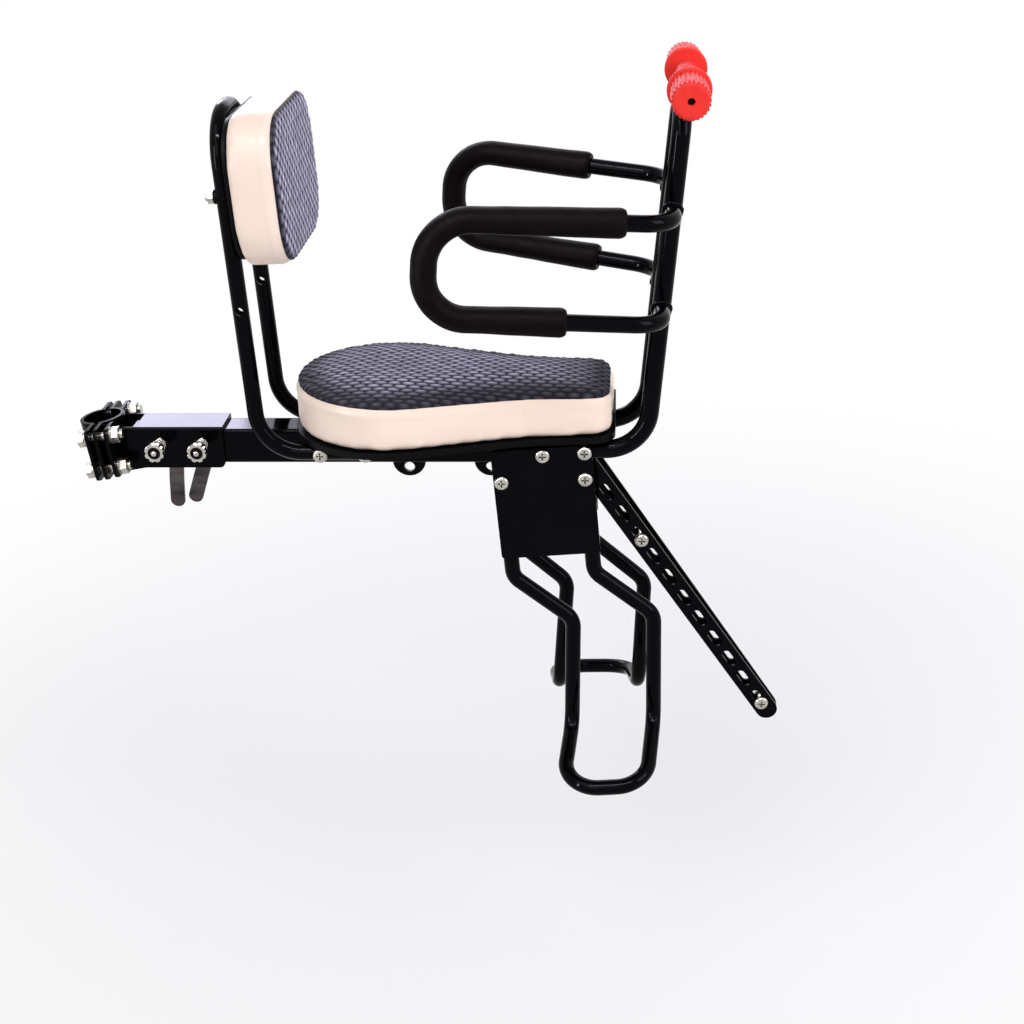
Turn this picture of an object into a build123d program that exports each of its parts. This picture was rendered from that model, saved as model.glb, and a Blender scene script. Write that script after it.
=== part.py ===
from build123d import *
from math import asin, atan2, cos, degrees, radians, sin, tan
import os

os.makedirs("parts", exist_ok=True)

# Front child bicycle seat, millimetres. The origin is where the seatpost axis crosses the beam axis.
# X points forward, Y to the rider's left, Z up.

# shared clearances
SLIDE = 0.3          # gap per side between pieces that slide together
SCREW_GAP = 0.25     # radial gap of a screw in its hole
RUN = 0.05           # radial gap of a running fit or of a thread
SIDE_GAP = 0.3       # gap beside a moving piece

# main beam, square tube
BEAM = 32
BEAM_WALL = 2
BEAM_ROUND = 3
BEAM_BORE = BEAM - 2 * BEAM_WALL
BEAM_REAR = 26
BEAM_FRONT = 418
BEAM_Z = BEAM / 2    # top face of the beam

# lugs under the beam
LUG_X = (274, 348)
LUG_R = 15
LUG_DROP = 3
LUG_HOLE = 9.5
LUG_HOLE_DROP = 6.5
LUG_T = 4

# seatpost clamp, leaning with the seatpost
POST_LEAN = 8
POST_R = 17
CLAMP_T = 3
CLAMP_H = 48
CLAMP_GAP = 5
EAR_Y = 42
EAR_ROUND = 6
CLAMP_BOLT_Y = 31
CLAMP_BOLT_Z = 15

# M8 clamp fasteners
M8 = 8
M8_HEAD = 13
M8_HEAD_T = 5.3
M8_NUT_T = 6.5
M8_WASHER = 15.5
M8_WASHER_T = 1.6
M8_SPRING = 13.2
M8_SPRING_T = 2
M8_TAIL = 3

# sleeve bracket, folded sheet over the rear of the beam
SLEEVE_T = 3
SLEEVE_ROUND = 5
SLEEVE_TOP_REAR = 31
SLEEVE_FRONT = 110
SLEEVE_LOW = -19
SLEEVE_EAR = 12      # rear face of the folded ears, measured from the seatpost axis
SLEEVE_FLARE_X = 38
SLEEVE_IN = BEAM / 2 + SLIDE
SLEEVE_OUT = SLEEVE_IN + SLEEVE_T

# quick releases
QR_X = (54, 92)
QR_SWING = (5.5, 20.0)   # how far each lever hangs to the rear of straight down
QR_Z = 5.5
QR_ROD = 5
QR_ROD_EDGE = 1
QR_NEAR = 48
NUT_FACE = 46
NUT_R = 8.65
NUT_FLANGE = 5
NUT_SCALLOPS = 8
NUT_SCALLOP_R = 2.1
NUT_TIP_R = 5.5
NUT_TIP_Y = 33
SPRING_WIRE = 1.2
SPRING_WIDE = 5.6
SPRING_NARROW = 4.2
SPRING_TURNS = 3
CAM_SEAT_R = 8
CAM_SEAT_T = 4
CAM_SEAT_EDGE = 0.8
CAM_R = 6.4
CAM_Y = SLEEVE_OUT + CAM_SEAT_T + SIDE_GAP + CAM_R
CHEEK_IN = 3.5
CHEEK_T = 3
EYE_R = 3.5
EYE_T = 6
PIN = 4
LEVER_W = 13.6
LEVER_T = 2.4
LEVER_Y = 4.0
LEVER_L = 89
LEVER_ROOT = 1.2     # the strap starts beyond the pin, so that it clears the rod when open
LEVER_BEND = 58
LEVER_KICK = 5

# tubes of the frames
TUBE_WALL = 1.5
BACK_TUBE = 14
FRONT_TUBE = 16
RAIL_TUBE = 14
HOOP_TUBE = 14
PLUG_HEAD = 2.5
PLUG_EDGE = 1
PLUG_STUB = 8

# rear saddle and back frame
SADDLE_T = 3
REAR_SADDLE_X = (190, 255)
REAR_SADDLE_LOW = -4
BACK_Y = 46
BACK_RUN_Z = 7
BACK_RUN_FRONT = 262
BACK_CORNER_X = 149.8
BACK_TOP_Z = 298
BACK_LEAN = 2.7
BACK_BEND = 38
BACK_ARCH = 40
BACK_BOLT_X = (203.6, 242.9)
BACK_HOLE = 6.8
BACK_HOLE_Z = 137
BACK_FLANGE = BACK_Y - BACK_TUBE / 2

# M6 pan head fasteners
M6 = 6
M6_HEAD = 13
M6_HEAD_T = 4.5
M6_NUT = 10
M6_NUT_T = 5
M6_TAIL = 1.5
CROSS_L = 6.4
CROSS_W = 1.3
CROSS_D = 1.8

# backrest
REST_MID_Z = 234
REST_W = 174
REST_H = 128
REST_ROUND = 42
REST_UP = 5          # middle of the padding above the two studs
REST_BAND = 37
REST_CROWN = 5
REST_SOFT = 4
REST_TUCK = 3
BOARD_T = 3
BOARD_MARGIN = 6
REST_STAND = 13.4    # from the leg axis to the rear face of the padding
REST_SPACER = 12
REST_HEAD = 14
REST_HEAD_T = 2
REST_PAD_T = 1.5     # rear spacer behind the tube
REST_TAIL = 2

# seat
LOBE_X = 264
LOBE_R = 86
FLANK = 16.7         # slope of the flanks between the rear lobe and the waist
WAIST_X = 383
WAIST_ROUND = 200
NOSE_X = 457.5
NOSE_Y = 48
NOSE_ROUND = 19
PAN_T = 2
PAN_RIM_T = 2
PAN_SKIRT = 2.7
PAN_RIM = 0.6
LIP_H = 16
SEAT_BAND = 39
SEAT_FALL = 1.25      # the top falls toward the nose, in degrees
SEAT_CROWN = 9
SEAT_SOFT = 7
SEAT_SCREW_REAR = (222, 26)
SEAT_SCREW_FRONT = (434, 10)

# front saddle and front frame
FRONT_SADDLE_X = (385, 446)
FRONT_SADDLE_LOW = -6
FRONT_Y = 36
FRONT_RUN_Z = 5.5
FRONT_RUN_REAR = 383
FRONT_CORNER_X = 486
FRONT_TOP_Z = 297
FRONT_LEAN = 5.6
FRONT_BEND = 38
FRONT_ARCH = 26
FRONT_FLANGE = FRONT_Y - FRONT_TUBE / 2

# handle
HANDLE_Z = 315
HANDLE_AHEAD = 2.2
HANDLE_ROD = 12
HANDLE_HALF = 91
STEM = 13
GRIP_IN = 10
GRIP_NECK = 17.6
GRIP_FLANGE = 36
GRIP_FLANGE_Y = (45, 51.5)
GRIP_BARREL = 29
GRIP_CAP = 7
GRIP_END = HANDLE_HALF + GRIP_CAP
GRIP_LAND = 4        # plain end of the ribbed barrel
GRIP_HOLE = 6
GRIP_FLANGE_EDGE = 2.2
GRIP_END_EDGE = 2.5
GRIP_RIBS = 26
GRIP_RIB_R = 1.1

# guard hoops, each in an upright plane that splays outward to the rear
HOOP_REAR_X = 310.9
HOOP_REAR_Y = 126.8
HOOP_SPLAY = 0.225
RAIL_REAR_Z = 234
RAIL_REAR_LEAN = 3.75
RAIL_FALL = 0.092
RAIL_LOWER_FALL = 0.112
RAIL_SPACING = 79.5
RAIL_BEND = 36
RAIL_CORNER = 30
FOAM = 24.5
FOAM_UPPER_X = {"right": 468, "left": 437}
FOAM_LOWER_X = {"right": 420, "left": 444}

# foot plates and foot hoops, in a frame that starts at the pivot bolt
PIVOT_X = 433.5
PIVOT_Z = -18
FOOT_TURN = {"right": 4.2, "left": 1.0}
PLATE_T = 3
PLATE_IN = FRONT_Y + FRONT_TUBE / 2
PLATE_OUT = PLATE_IN + PLATE_T
PLATE_X = (-80.3, 8)
PLATE_Z = (-72, 31)
PLATE_ROUND = 3
LEG_REAR = -73
LEG_TOP = 9
TUBE_BOLTS = ((-35, 24.6), (1.4, 24.6))
LEG_BOLT_Z = 2
HOOP_Y = PLATE_IN - HOOP_TUBE / 2
KNEE_Z = -95
STEP_X = 50.5
STEP_Z = -141
ANKLE_X = (-33, 43)
ANKLE_Z = -251.5
FOOT_BACK = 9        # the footrest lies a little to the rear of the ankles
FOOT_Y = 112
FOOT_Z = -275.2
KNEE_BEND = 16
STEP_BEND = 18
ANKLE_BEND = 20
FOOT_BEND = 30

# slotted strut
STRUT_DROP = 56.5
STRUT_W = 20
STRUT_T = 2.5
STRUT_L = 305
STRUT_HALF = 13      # outer faces at the pivot
STRUT_END_HALF = 6   # outer faces at the far end
SLOT_L = 18
SLOT_W = 7.5
SLOT_FIRST = 33.3
SLOT_LAST = 14.7     # from the last slot to the far end's centre
SLOT_COUNT = 11
SLOT_PITCH = (STRUT_L - SLOT_FIRST - SLOT_LAST) / (SLOT_COUNT - 1)
STRUT_BOLT_SLOTS = (2, 10)
SPACER = 11

SIDES = {"right": -1, "left": 1}

# planes
c8 = cos(radians(POST_LEAN))
s8 = sin(radians(POST_LEAN))
POST = Plane((0, 0, 0), x_dir=(c8, 0, s8), z_dir=(-s8, 0, c8))
POST_FACE = Plane((0, 0, 0), x_dir=(0, 1, 0), z_dir=(c8, 0, s8))
BACK_SLOPE = tan(radians(BACK_LEAN))
FRONT_SLOPE = tan(radians(FRONT_LEAN))
BACK_TOP_X = BACK_CORNER_X - (BACK_TOP_Z - BACK_RUN_Z) * BACK_SLOPE
FRONT_TOP_X = FRONT_CORNER_X + (FRONT_TOP_Z - FRONT_RUN_Z) * FRONT_SLOPE
UPRIGHT = (sin(radians(FRONT_LEAN)), 0, cos(radians(FRONT_LEAN)))
HANDLE_X = FRONT_CORNER_X + (HANDLE_Z - FRONT_RUN_Z) * FRONT_SLOPE + HANDLE_AHEAD
cb = cos(radians(BACK_LEAN))
sb = sin(radians(BACK_LEAN))
LEG_MID_X = BACK_CORNER_X - (REST_MID_Z - BACK_RUN_Z) * BACK_SLOPE
LEG_FACE = Plane((LEG_MID_X, 0, REST_MID_Z), x_dir=(0, 1, 0), z_dir=(cb, 0, sb))
REST = LEG_FACE.offset(REST_STAND)


def keep(name, builder):
    """Label a finished part and write its file."""
    builder.part.label = name
    export_step(builder.part, f"parts/{name}.step")


def bent_tube(points, radii, outside, bore):
    """A round tube along straight runs joined by tangent bends."""
    with BuildPart() as tube:
        with BuildLine() as route:
            FilletPolyline(*points, radius=radii)
        with BuildSketch(Plane(route.line @ 0, z_dir=route.line % 0)):
            Circle(outside / 2)
            Circle(bore / 2, mode=Mode.SUBTRACT)
        sweep(path=route.wires()[0])
    return tube


def cross_y(places, radius, low, high):
    """Round bars along Y through (x, z) places, from y = low to y = high."""
    with BuildSketch(Plane((0, high, 0), x_dir=(1, 0, 0), z_dir=(0, -1, 0)), mode=Mode.PRIVATE) as rounds:
        with Locations(*places):
            Circle(radius)
    return extrude(rounds.sketch, amount=high - low, mode=Mode.PRIVATE)


def drill_y(part, places, radius, low, high):
    """Holes along Y through (x, z) places of a finished part."""
    with BuildPart() as drilled:
        add(part)
        add(cross_y(places, radius, low, high), mode=Mode.SUBTRACT)
    return drilled


def pan_bolt(plane, grip, tail):
    """A pan head bolt whose head sits on a plane; its shank runs against the plane's normal."""
    with BuildPart() as bolt:
        with BuildSketch(plane):
            Circle(M6_HEAD / 2)
        extrude(amount=M6_HEAD_T)
        fillet(bolt.faces().sort_by(Axis(plane.origin, plane.z_dir))[-1].edges(), M6_HEAD_T * 0.6)
        with BuildSketch(plane.offset(M6_HEAD_T)):
            Rectangle(CROSS_L, CROSS_W)
            Rectangle(CROSS_W, CROSS_L)
        extrude(amount=-CROSS_D, mode=Mode.SUBTRACT)
        with BuildSketch(plane):
            Circle(M6 / 2)
        extrude(amount=-(grip + tail))
    return bolt


def hex_nut(plane, across, bore, thick):
    """A hexagon nut that stands on a plane."""
    with BuildPart() as nut:
        with BuildSketch(plane):
            RegularPolygon(across / 2, 6, major_radius=False)
            Circle(bore / 2, mode=Mode.SUBTRACT)
        extrude(amount=thick)
    return nut


def group(name, builders):
    """Write several like pieces as one node."""
    with BuildPart() as pieces:
        for builder in builders:
            add(builder.part)
    keep(name, pieces)


def side_plane(x, y, z, outward):
    """A plane across Y at a point, facing toward +Y or -Y."""
    return Plane((x, y, z), x_dir=(1, 0, 0), z_dir=(0, outward, 0))


# main beam
with BuildPart() as main_beam:
    with BuildSketch(Plane.YZ.offset(BEAM_REAR)):
        RectangleRounded(BEAM, BEAM, BEAM_ROUND)
        RectangleRounded(BEAM_BORE, BEAM_BORE, BEAM_ROUND - BEAM_WALL, mode=Mode.SUBTRACT)
    extrude(amount=BEAM_FRONT - BEAM_REAR)
    add(cross_y([(x, QR_Z) for x in QR_X], QR_ROD / 2 + SCREW_GAP, -BEAM, BEAM), mode=Mode.SUBTRACT)
keep("main_beam", main_beam)

with BuildPart() as beam_plug:
    with BuildSketch(Plane.YZ.offset(BEAM_FRONT)):
        RectangleRounded(BEAM, BEAM, BEAM_ROUND)
    extrude(amount=PLUG_HEAD)
    fillet(beam_plug.faces().sort_by(Axis.X)[-1].edges(), PLUG_EDGE)
    with BuildSketch(Plane.YZ.offset(BEAM_FRONT)):
        inside = BEAM_BORE - 2 * RUN
        RectangleRounded(inside, inside, BEAM_ROUND - BEAM_WALL)
    extrude(amount=-PLUG_STUB)
keep("beam_plug", beam_plug)

# two half-round tabs welded under the beam
with BuildPart() as beam_lugs:
    with BuildSketch(Plane.XZ):
        with Locations(*[(x, -BEAM_Z - LUG_DROP) for x in LUG_X]):
            Circle(LUG_R)
        with Locations(*[(x, -BEAM_Z - LUG_DROP / 2) for x in LUG_X]):
            Rectangle(2 * LUG_R, LUG_DROP)
        with Locations(*[(x, -BEAM_Z) for x in LUG_X]):
            Rectangle(3 * LUG_R, 2 * LUG_R, align=(Align.CENTER, Align.MIN), mode=Mode.SUBTRACT)
        with Locations(*[(x, -BEAM_Z - LUG_DROP - LUG_HOLE_DROP) for x in LUG_X]):
            Circle(LUG_HOLE / 2, mode=Mode.SUBTRACT)
    extrude(amount=LUG_T / 2, both=True)
keep("beam_lugs", beam_lugs)


# seatpost clamp: two formed strips with ears
def clamp_half(facing):
    """One half of the clamp; facing is 1 for the front half and -1 for the rear half."""
    with BuildPart() as half:
        with BuildSketch(POST.offset(-CLAMP_H / 2)):
            Circle(POST_R + CLAMP_T)
            with Locations((facing * (CLAMP_GAP + CLAMP_T) / 2, 0)):
                Rectangle(CLAMP_T, 2 * EAR_Y)
            Circle(POST_R, mode=Mode.SUBTRACT)
            with Locations((facing * (CLAMP_GAP / 2 - EAR_Y), 0)):
                Rectangle(2 * EAR_Y, 3 * EAR_Y, mode=Mode.SUBTRACT)
        extrude(amount=CLAMP_H)
        fillet(half.edges().filter_by(Axis((0, 0, 0), POST.x_dir)), EAR_ROUND)
        with BuildSketch(POST_FACE.offset(-EAR_Y)):
            with GridLocations(2 * CLAMP_BOLT_Y, 2 * CLAMP_BOLT_Z, 2, 2):
                Circle(M8 / 2 + SCREW_GAP)
        extrude(amount=2 * EAR_Y, mode=Mode.SUBTRACT)
    return half


keep("clamp_front_half", clamp_half(1))
keep("clamp_rear_half", clamp_half(-1))

EAR_REAR = CLAMP_GAP / 2 + CLAMP_T
SLEEVE_EAR_FRONT = SLEEVE_EAR + SLEEVE_T
with BuildPart() as clamp_bolts:
    under_head = -EAR_REAR - M8_WASHER_T - M8_SPRING_T
    with BuildSketch(POST_FACE.offset(under_head)):
        with GridLocations(2 * CLAMP_BOLT_Y, 2 * CLAMP_BOLT_Z, 2, 2):
            RegularPolygon(M8_HEAD / 2, 6, major_radius=False)
    extrude(amount=-M8_HEAD_T)
    with BuildSketch(POST_FACE.offset(under_head)):
        with GridLocations(2 * CLAMP_BOLT_Y, 2 * CLAMP_BOLT_Z, 2, 2):
            Circle(M8 / 2)
    extrude(amount=SLEEVE_EAR_FRONT + M8_WASHER_T + M8_NUT_T + M8_TAIL - under_head)
keep("clamp_bolts", clamp_bolts)

with BuildPart() as clamp_washers:
    for start, outside, thick in (
        (-EAR_REAR, M8_WASHER, -M8_WASHER_T),
        (-EAR_REAR - M8_WASHER_T, M8_SPRING, -M8_SPRING_T),
        (SLEEVE_EAR_FRONT, M8_WASHER, M8_WASHER_T),
    ):
        with BuildSketch(POST_FACE.offset(start)):
            with GridLocations(2 * CLAMP_BOLT_Y, 2 * CLAMP_BOLT_Z, 2, 2):
                Circle(outside / 2)
                Circle(M8 / 2 + SCREW_GAP, mode=Mode.SUBTRACT)
        extrude(amount=thick)
keep("clamp_washers", clamp_washers)

with BuildPart() as clamp_nuts:
    with BuildSketch(POST_FACE.offset(SLEEVE_EAR_FRONT + M8_WASHER_T)):
        with GridLocations(2 * CLAMP_BOLT_Y, 2 * CLAMP_BOLT_Z, 2, 2):
            RegularPolygon(M8_HEAD / 2, 6, major_radius=False)
            Circle(M8 / 2 + RUN, mode=Mode.SUBTRACT)
    extrude(amount=M8_NUT_T)
keep("clamp_nuts", clamp_nuts)

# sleeve bracket: a channel over the beam whose side plates fold outward into ears at the clamp
with BuildPart() as sleeve_bracket:
    with BuildSketch(Plane.XZ):
        with BuildLine():
            ear_top = (SLEEVE_EAR - SLEEVE_OUT * s8) / c8
            ear_low = (SLEEVE_EAR + CLAMP_H / 2 * s8) / c8
            Polyline(
                (ear_top, SLEEVE_OUT),
                (SLEEVE_FRONT, SLEEVE_OUT),
                (SLEEVE_FRONT, SLEEVE_LOW),
                (SLEEVE_FLARE_X, SLEEVE_LOW),
                (ear_low, -CLAMP_H / 2 + 1),
                close=True,
            )
        make_face()
    extrude(amount=SLEEVE_OUT, both=True)
    with BuildSketch(Plane.XZ):
        with Locations((SLEEVE_FRONT / 2, SLEEVE_IN)):
            Rectangle(2 * SLEEVE_FRONT, 4 * SLEEVE_IN, align=(Align.CENTER, Align.MAX))
        with Locations((SLEEVE_TOP_REAR, SLEEVE_IN)):
            Rectangle(2 * SLEEVE_FRONT, 4 * SLEEVE_IN, align=(Align.MAX, Align.CENTER))
    extrude(amount=SLEEVE_IN, both=True, mode=Mode.SUBTRACT)
    folds = sleeve_bracket.edges().filter_by(Axis.X).group_by(Axis.Z)[-1]
    fillet([fold for fold in folds if abs(fold.center().Y) > SLEEVE_IN + 1], SLEEVE_T * 0.8)
    corners = sleeve_bracket.edges().filter_by(Axis.Y).sort_by(Axis.X)[-4:].sort_by(Axis.Z)[:2]
    fillet(corners, SLEEVE_ROUND)
    with BuildSketch(POST_FACE.offset(SLEEVE_EAR)):
        with Locations(*[(side * (SLEEVE_IN + EAR_Y) / 2, 0) for side in SIDES.values()]):
            Rectangle(EAR_Y - SLEEVE_IN, CLAMP_H - 2)
    extrude(amount=SLEEVE_T)
    ears = sleeve_bracket.edges().filter_by(Axis((0, 0, 0), POST.x_dir))
    fillet([edge for edge in ears if abs(edge.center().Y) > EAR_Y - 1], EAR_ROUND)
    with BuildSketch(POST_FACE):
        with GridLocations(2 * CLAMP_BOLT_Y, 2 * CLAMP_BOLT_Z, 2, 2):
            Circle(M8 / 2 + SCREW_GAP)
    extrude(amount=EAR_Y, mode=Mode.SUBTRACT)
    add(cross_y([(x, QR_Z) for x in QR_X], QR_ROD / 2 + SCREW_GAP, -EAR_Y, EAR_Y), mode=Mode.SUBTRACT)
keep("sleeve_bracket", sleeve_bracket)


# quick releases
def lever_plane(x, swing):
    """The plane of a lever at its pin: x runs down the lever, y outward, z along the pin."""
    turn = radians(swing)
    down = (-sin(turn), 0, -cos(turn))
    return Plane((x, CAM_Y, QR_Z), x_dir=down, z_dir=(cos(turn), 0, -sin(turn)))


def lever(x, swing):
    """A stamped strap with two round cheeks that turn on the pin."""
    frame = lever_plane(x, swing)
    top = Plane(frame.origin, x_dir=frame.x_dir, z_dir=(0, 1, 0))
    with BuildPart() as strap:
        with BuildSketch(frame):
            with BuildLine():
                Polyline(
                    (LEVER_ROOT, LEVER_Y),
                    (LEVER_BEND, LEVER_Y),
                    (LEVER_L, LEVER_Y + LEVER_KICK),
                    (LEVER_L, LEVER_Y + LEVER_KICK + LEVER_T),
                    (LEVER_BEND - 1, LEVER_Y + LEVER_T),
                    (LEVER_ROOT, LEVER_Y + LEVER_T),
                    close=True,
                )
            make_face()
        extrude(amount=LEVER_W / 2, both=True)
        with BuildSketch(frame.offset(CHEEK_IN), frame.offset(-CHEEK_IN - CHEEK_T)):
            Circle(CAM_R)
            with Locations((CAM_R / 2, 0)):
                Rectangle(CAM_R, LEVER_Y + 0.5, align=(Align.CENTER, Align.MIN))
        extrude(amount=CHEEK_T)
        with BuildSketch(top.offset(-LEVER_L)):
            with Locations(((LEVER_L - LEVER_W / 2 - CAM_R) / 2, 0)):
                Rectangle(LEVER_L - LEVER_W / 2 + CAM_R, LEVER_W)
            with Locations((LEVER_L - LEVER_W / 2, 0)):
                Circle(LEVER_W / 2)
        extrude(amount=2 * LEVER_L, mode=Mode.INTERSECT)
        with BuildSketch(frame):
            Circle(PIN / 2 + RUN)
        extrude(amount=LEVER_W, both=True, mode=Mode.SUBTRACT)
    return strap


keep("qr_lever_rear", lever(QR_X[0], QR_SWING[0]))
keep("qr_lever_front", lever(QR_X[1], QR_SWING[1]))

with BuildPart() as qr_rods:
    add(cross_y([(x, QR_Z) for x in QR_X], QR_ROD / 2, -QR_NEAR, CAM_Y))
    fillet(qr_rods.edges().filter_by(GeomType.CIRCLE).group_by(Axis.Y)[0], QR_ROD_EDGE)
    for x, swing in zip(QR_X, QR_SWING):
        with BuildSketch(lever_plane(x, swing)):
            Circle(EYE_R)
        extrude(amount=EYE_T / 2, both=True)
    for x, swing in zip(QR_X, QR_SWING):
        with BuildSketch(lever_plane(x, swing)):
            Circle(PIN / 2 + RUN)
        extrude(amount=EYE_T, both=True, mode=Mode.SUBTRACT)
keep("qr_rods", qr_rods)

with BuildPart() as qr_pins:
    for x, swing in zip(QR_X, QR_SWING):
        with BuildSketch(lever_plane(x, swing)):
            Circle(PIN / 2)
        extrude(amount=CHEEK_IN + CHEEK_T, both=True)
keep("qr_pins", qr_pins)

with BuildPart() as qr_cam_seats:
    for x in QR_X:
        with BuildSketch(side_plane(x, SLEEVE_OUT, QR_Z, 1)):
            Circle(CAM_SEAT_R)
            Circle(QR_ROD / 2 + SCREW_GAP, mode=Mode.SUBTRACT)
        extrude(amount=CAM_SEAT_T)
    outer_rims = qr_cam_seats.edges().filter_by(GeomType.CIRCLE).group_by(Axis.Y)[0]
    chamfer(outer_rims.group_by(SortBy.RADIUS)[-1], CAM_SEAT_EDGE)
keep("qr_cam_seats", qr_cam_seats)


def star_nut(x):
    """A thumb nut: a scalloped flange with a cone behind it."""
    flange_y = NUT_FACE - NUT_FLANGE
    with BuildPart() as nut:
        with BuildSketch(side_plane(x, -flange_y, QR_Z, -1)):
            Circle(NUT_R)
            with PolarLocations(NUT_R + NUT_SCALLOP_R * 0.45, NUT_SCALLOPS):
                Circle(NUT_SCALLOP_R, mode=Mode.SUBTRACT)
        extrude(amount=NUT_FLANGE)
        with BuildSketch(side_plane(x, -flange_y, QR_Z, 1)):
            Circle(NUT_R - NUT_SCALLOP_R)
        extrude(
            amount=flange_y - NUT_TIP_Y,
            taper=degrees(atan2(NUT_R - NUT_SCALLOP_R - NUT_TIP_R, flange_y - NUT_TIP_Y)),
        )
        with BuildSketch(side_plane(x, -NUT_FACE, QR_Z, 1)):
            Circle(NUT_R * 0.55)
        extrude(amount=1, mode=Mode.SUBTRACT)
        with BuildSketch(side_plane(x, -NUT_FACE, QR_Z, 1)):
            Circle(QR_ROD / 2 + RUN)
        extrude(amount=NUT_FACE, mode=Mode.SUBTRACT)
    return nut


group("qr_star_nuts", [star_nut(x) for x in QR_X])


def cone_spring(x):
    """A coil that tightens from the nut toward the sleeve."""
    start = NUT_TIP_Y - SPRING_WIRE
    length = start - SLEEVE_OUT - SPRING_WIRE
    cone = degrees(atan2(SPRING_NARROW - SPRING_WIDE, length))
    with BuildPart() as coil:
        with BuildLine() as route:
            Helix(length / SPRING_TURNS, length, SPRING_WIDE, (x, -start, QR_Z), (0, 1, 0), cone_angle=cone)
        with BuildSketch(Plane(route.line @ 0, z_dir=route.line % 0)):
            Circle(SPRING_WIRE / 2)
        sweep(path=route.wires()[0], is_frenet=True)
    return coil


group("qr_springs", [cone_spring(x) for x in QR_X])


# saddles: folded channels welded on the beam
def saddle(ends, flange, low, bolts, screws):
    """An inverted channel; bolts are (x, z) places of each side, screws (x, y) places in the web."""
    with BuildPart() as channel:
        with BuildSketch(Plane.YZ.offset(ends[0])):
            with Locations((0, BEAM_Z + SADDLE_T)):
                Rectangle(2 * flange, BEAM_Z + SADDLE_T - low, align=(Align.CENTER, Align.MAX))
            with Locations((0, BEAM_Z)):
                Rectangle(
                    2 * (flange - SADDLE_T), 2 * BEAM, align=(Align.CENTER, Align.MAX), mode=Mode.SUBTRACT
                )
        extrude(amount=ends[1] - ends[0])
        folds = channel.edges().filter_by(Axis.X).group_by(Axis.Z)[-1]
        fillet(folds, SADDLE_T * 0.9)
        for name, side in SIDES.items():
            low_y = min(side * BEAM / 2, side * 2 * flange)
            high_y = max(side * BEAM / 2, side * 2 * flange)
            add(cross_y(bolts[name], M6 / 2 + SCREW_GAP, low_y, high_y), mode=Mode.SUBTRACT)
        with BuildSketch(Plane.XY):
            with Locations(*screws):
                Circle(M6 / 2 + SCREW_GAP)
        extrude(amount=BEAM, mode=Mode.SUBTRACT)
    return channel


def both_sides(place):
    """A place left and right of the middle."""
    return [(place[0], place[1]), (place[0], -place[1])]


BACK_BOLTS = [(x, BACK_RUN_Z) for x in BACK_BOLT_X]
keep(
    "rear_saddle",
    saddle(
        REAR_SADDLE_X,
        BACK_FLANGE,
        REAR_SADDLE_LOW,
        {"right": BACK_BOLTS, "left": BACK_BOLTS},
        both_sides(SEAT_SCREW_REAR),
    ),
)

# back frame: one tube, bent into an arch with two forward feet
back_tube = bent_tube(
    [
        (BACK_RUN_FRONT, -BACK_Y, BACK_RUN_Z),
        (BACK_CORNER_X, -BACK_Y, BACK_RUN_Z),
        (BACK_TOP_X, -BACK_Y, BACK_TOP_Z),
        (BACK_TOP_X, BACK_Y, BACK_TOP_Z),
        (BACK_CORNER_X, BACK_Y, BACK_RUN_Z),
        (BACK_RUN_FRONT, BACK_Y, BACK_RUN_Z),
    ],
    [BACK_BEND, BACK_ARCH, BACK_ARCH, BACK_BEND],
    BACK_TUBE,
    BACK_TUBE - 2 * TUBE_WALL,
)
back_hole_x = BACK_CORNER_X - (BACK_HOLE_Z - BACK_RUN_Z) * BACK_SLOPE
with BuildPart() as back_frame:
    add(back_tube.part)
    add(cross_y(BACK_BOLTS, M6 / 2 + SCREW_GAP, -2 * BACK_Y, 2 * BACK_Y), mode=Mode.SUBTRACT)
    add(cross_y([(back_hole_x, BACK_HOLE_Z)], BACK_HOLE / 2, -2 * BACK_Y, 2 * BACK_Y), mode=Mode.SUBTRACT)
    with BuildSketch(LEG_FACE.offset(-BACK_TUBE)):
        with GridLocations(2 * BACK_Y, 1, 2, 1):
            Circle(M6 / 2 + SCREW_GAP)
    extrude(amount=2 * BACK_TUBE, mode=Mode.SUBTRACT)
keep("back_frame", back_frame)


def tube_plug(x, y, z, outside, forward):
    """A pressed cap in a tube end that faces along X."""
    face = Plane((x, y, z), x_dir=(0, 1, 0), z_dir=(forward, 0, 0))
    with BuildPart() as plug:
        with BuildSketch(face):
            Circle(outside / 2)
        extrude(amount=PLUG_HEAD)
        fillet(plug.faces().sort_by(Axis((0, 0, 0), (forward, 0, 0)))[-1].edges(), PLUG_HEAD / 2)
        with BuildSketch(face):
            Circle(outside / 2 - TUBE_WALL - RUN)
        extrude(amount=-PLUG_STUB)
    return plug


group("back_frame_plugs", [tube_plug(BACK_RUN_FRONT, s * BACK_Y, BACK_RUN_Z, BACK_TUBE, 1) for s in (-1, 1)])

# bolts that hold the back frame to the rear saddle
back_grip = BACK_TUBE + SADDLE_T
BACK_HEAD_Y = BACK_Y + BACK_TUBE / 2
group(
    "back_frame_bolts",
    [
        pan_bolt(side_plane(x, s * BACK_HEAD_Y, BACK_RUN_Z, s), back_grip, M6_NUT_T + M6_TAIL)
        for x in BACK_BOLT_X
        for s in (-1, 1)
    ],
)
group(
    "back_frame_nuts",
    [
        hex_nut(side_plane(x, s * (BACK_FLANGE - SADDLE_T), BACK_RUN_Z, -s), M6_NUT, M6 + 2 * RUN, M6_NUT_T)
        for x in BACK_BOLT_X
        for s in (-1, 1)
    ],
)

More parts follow.
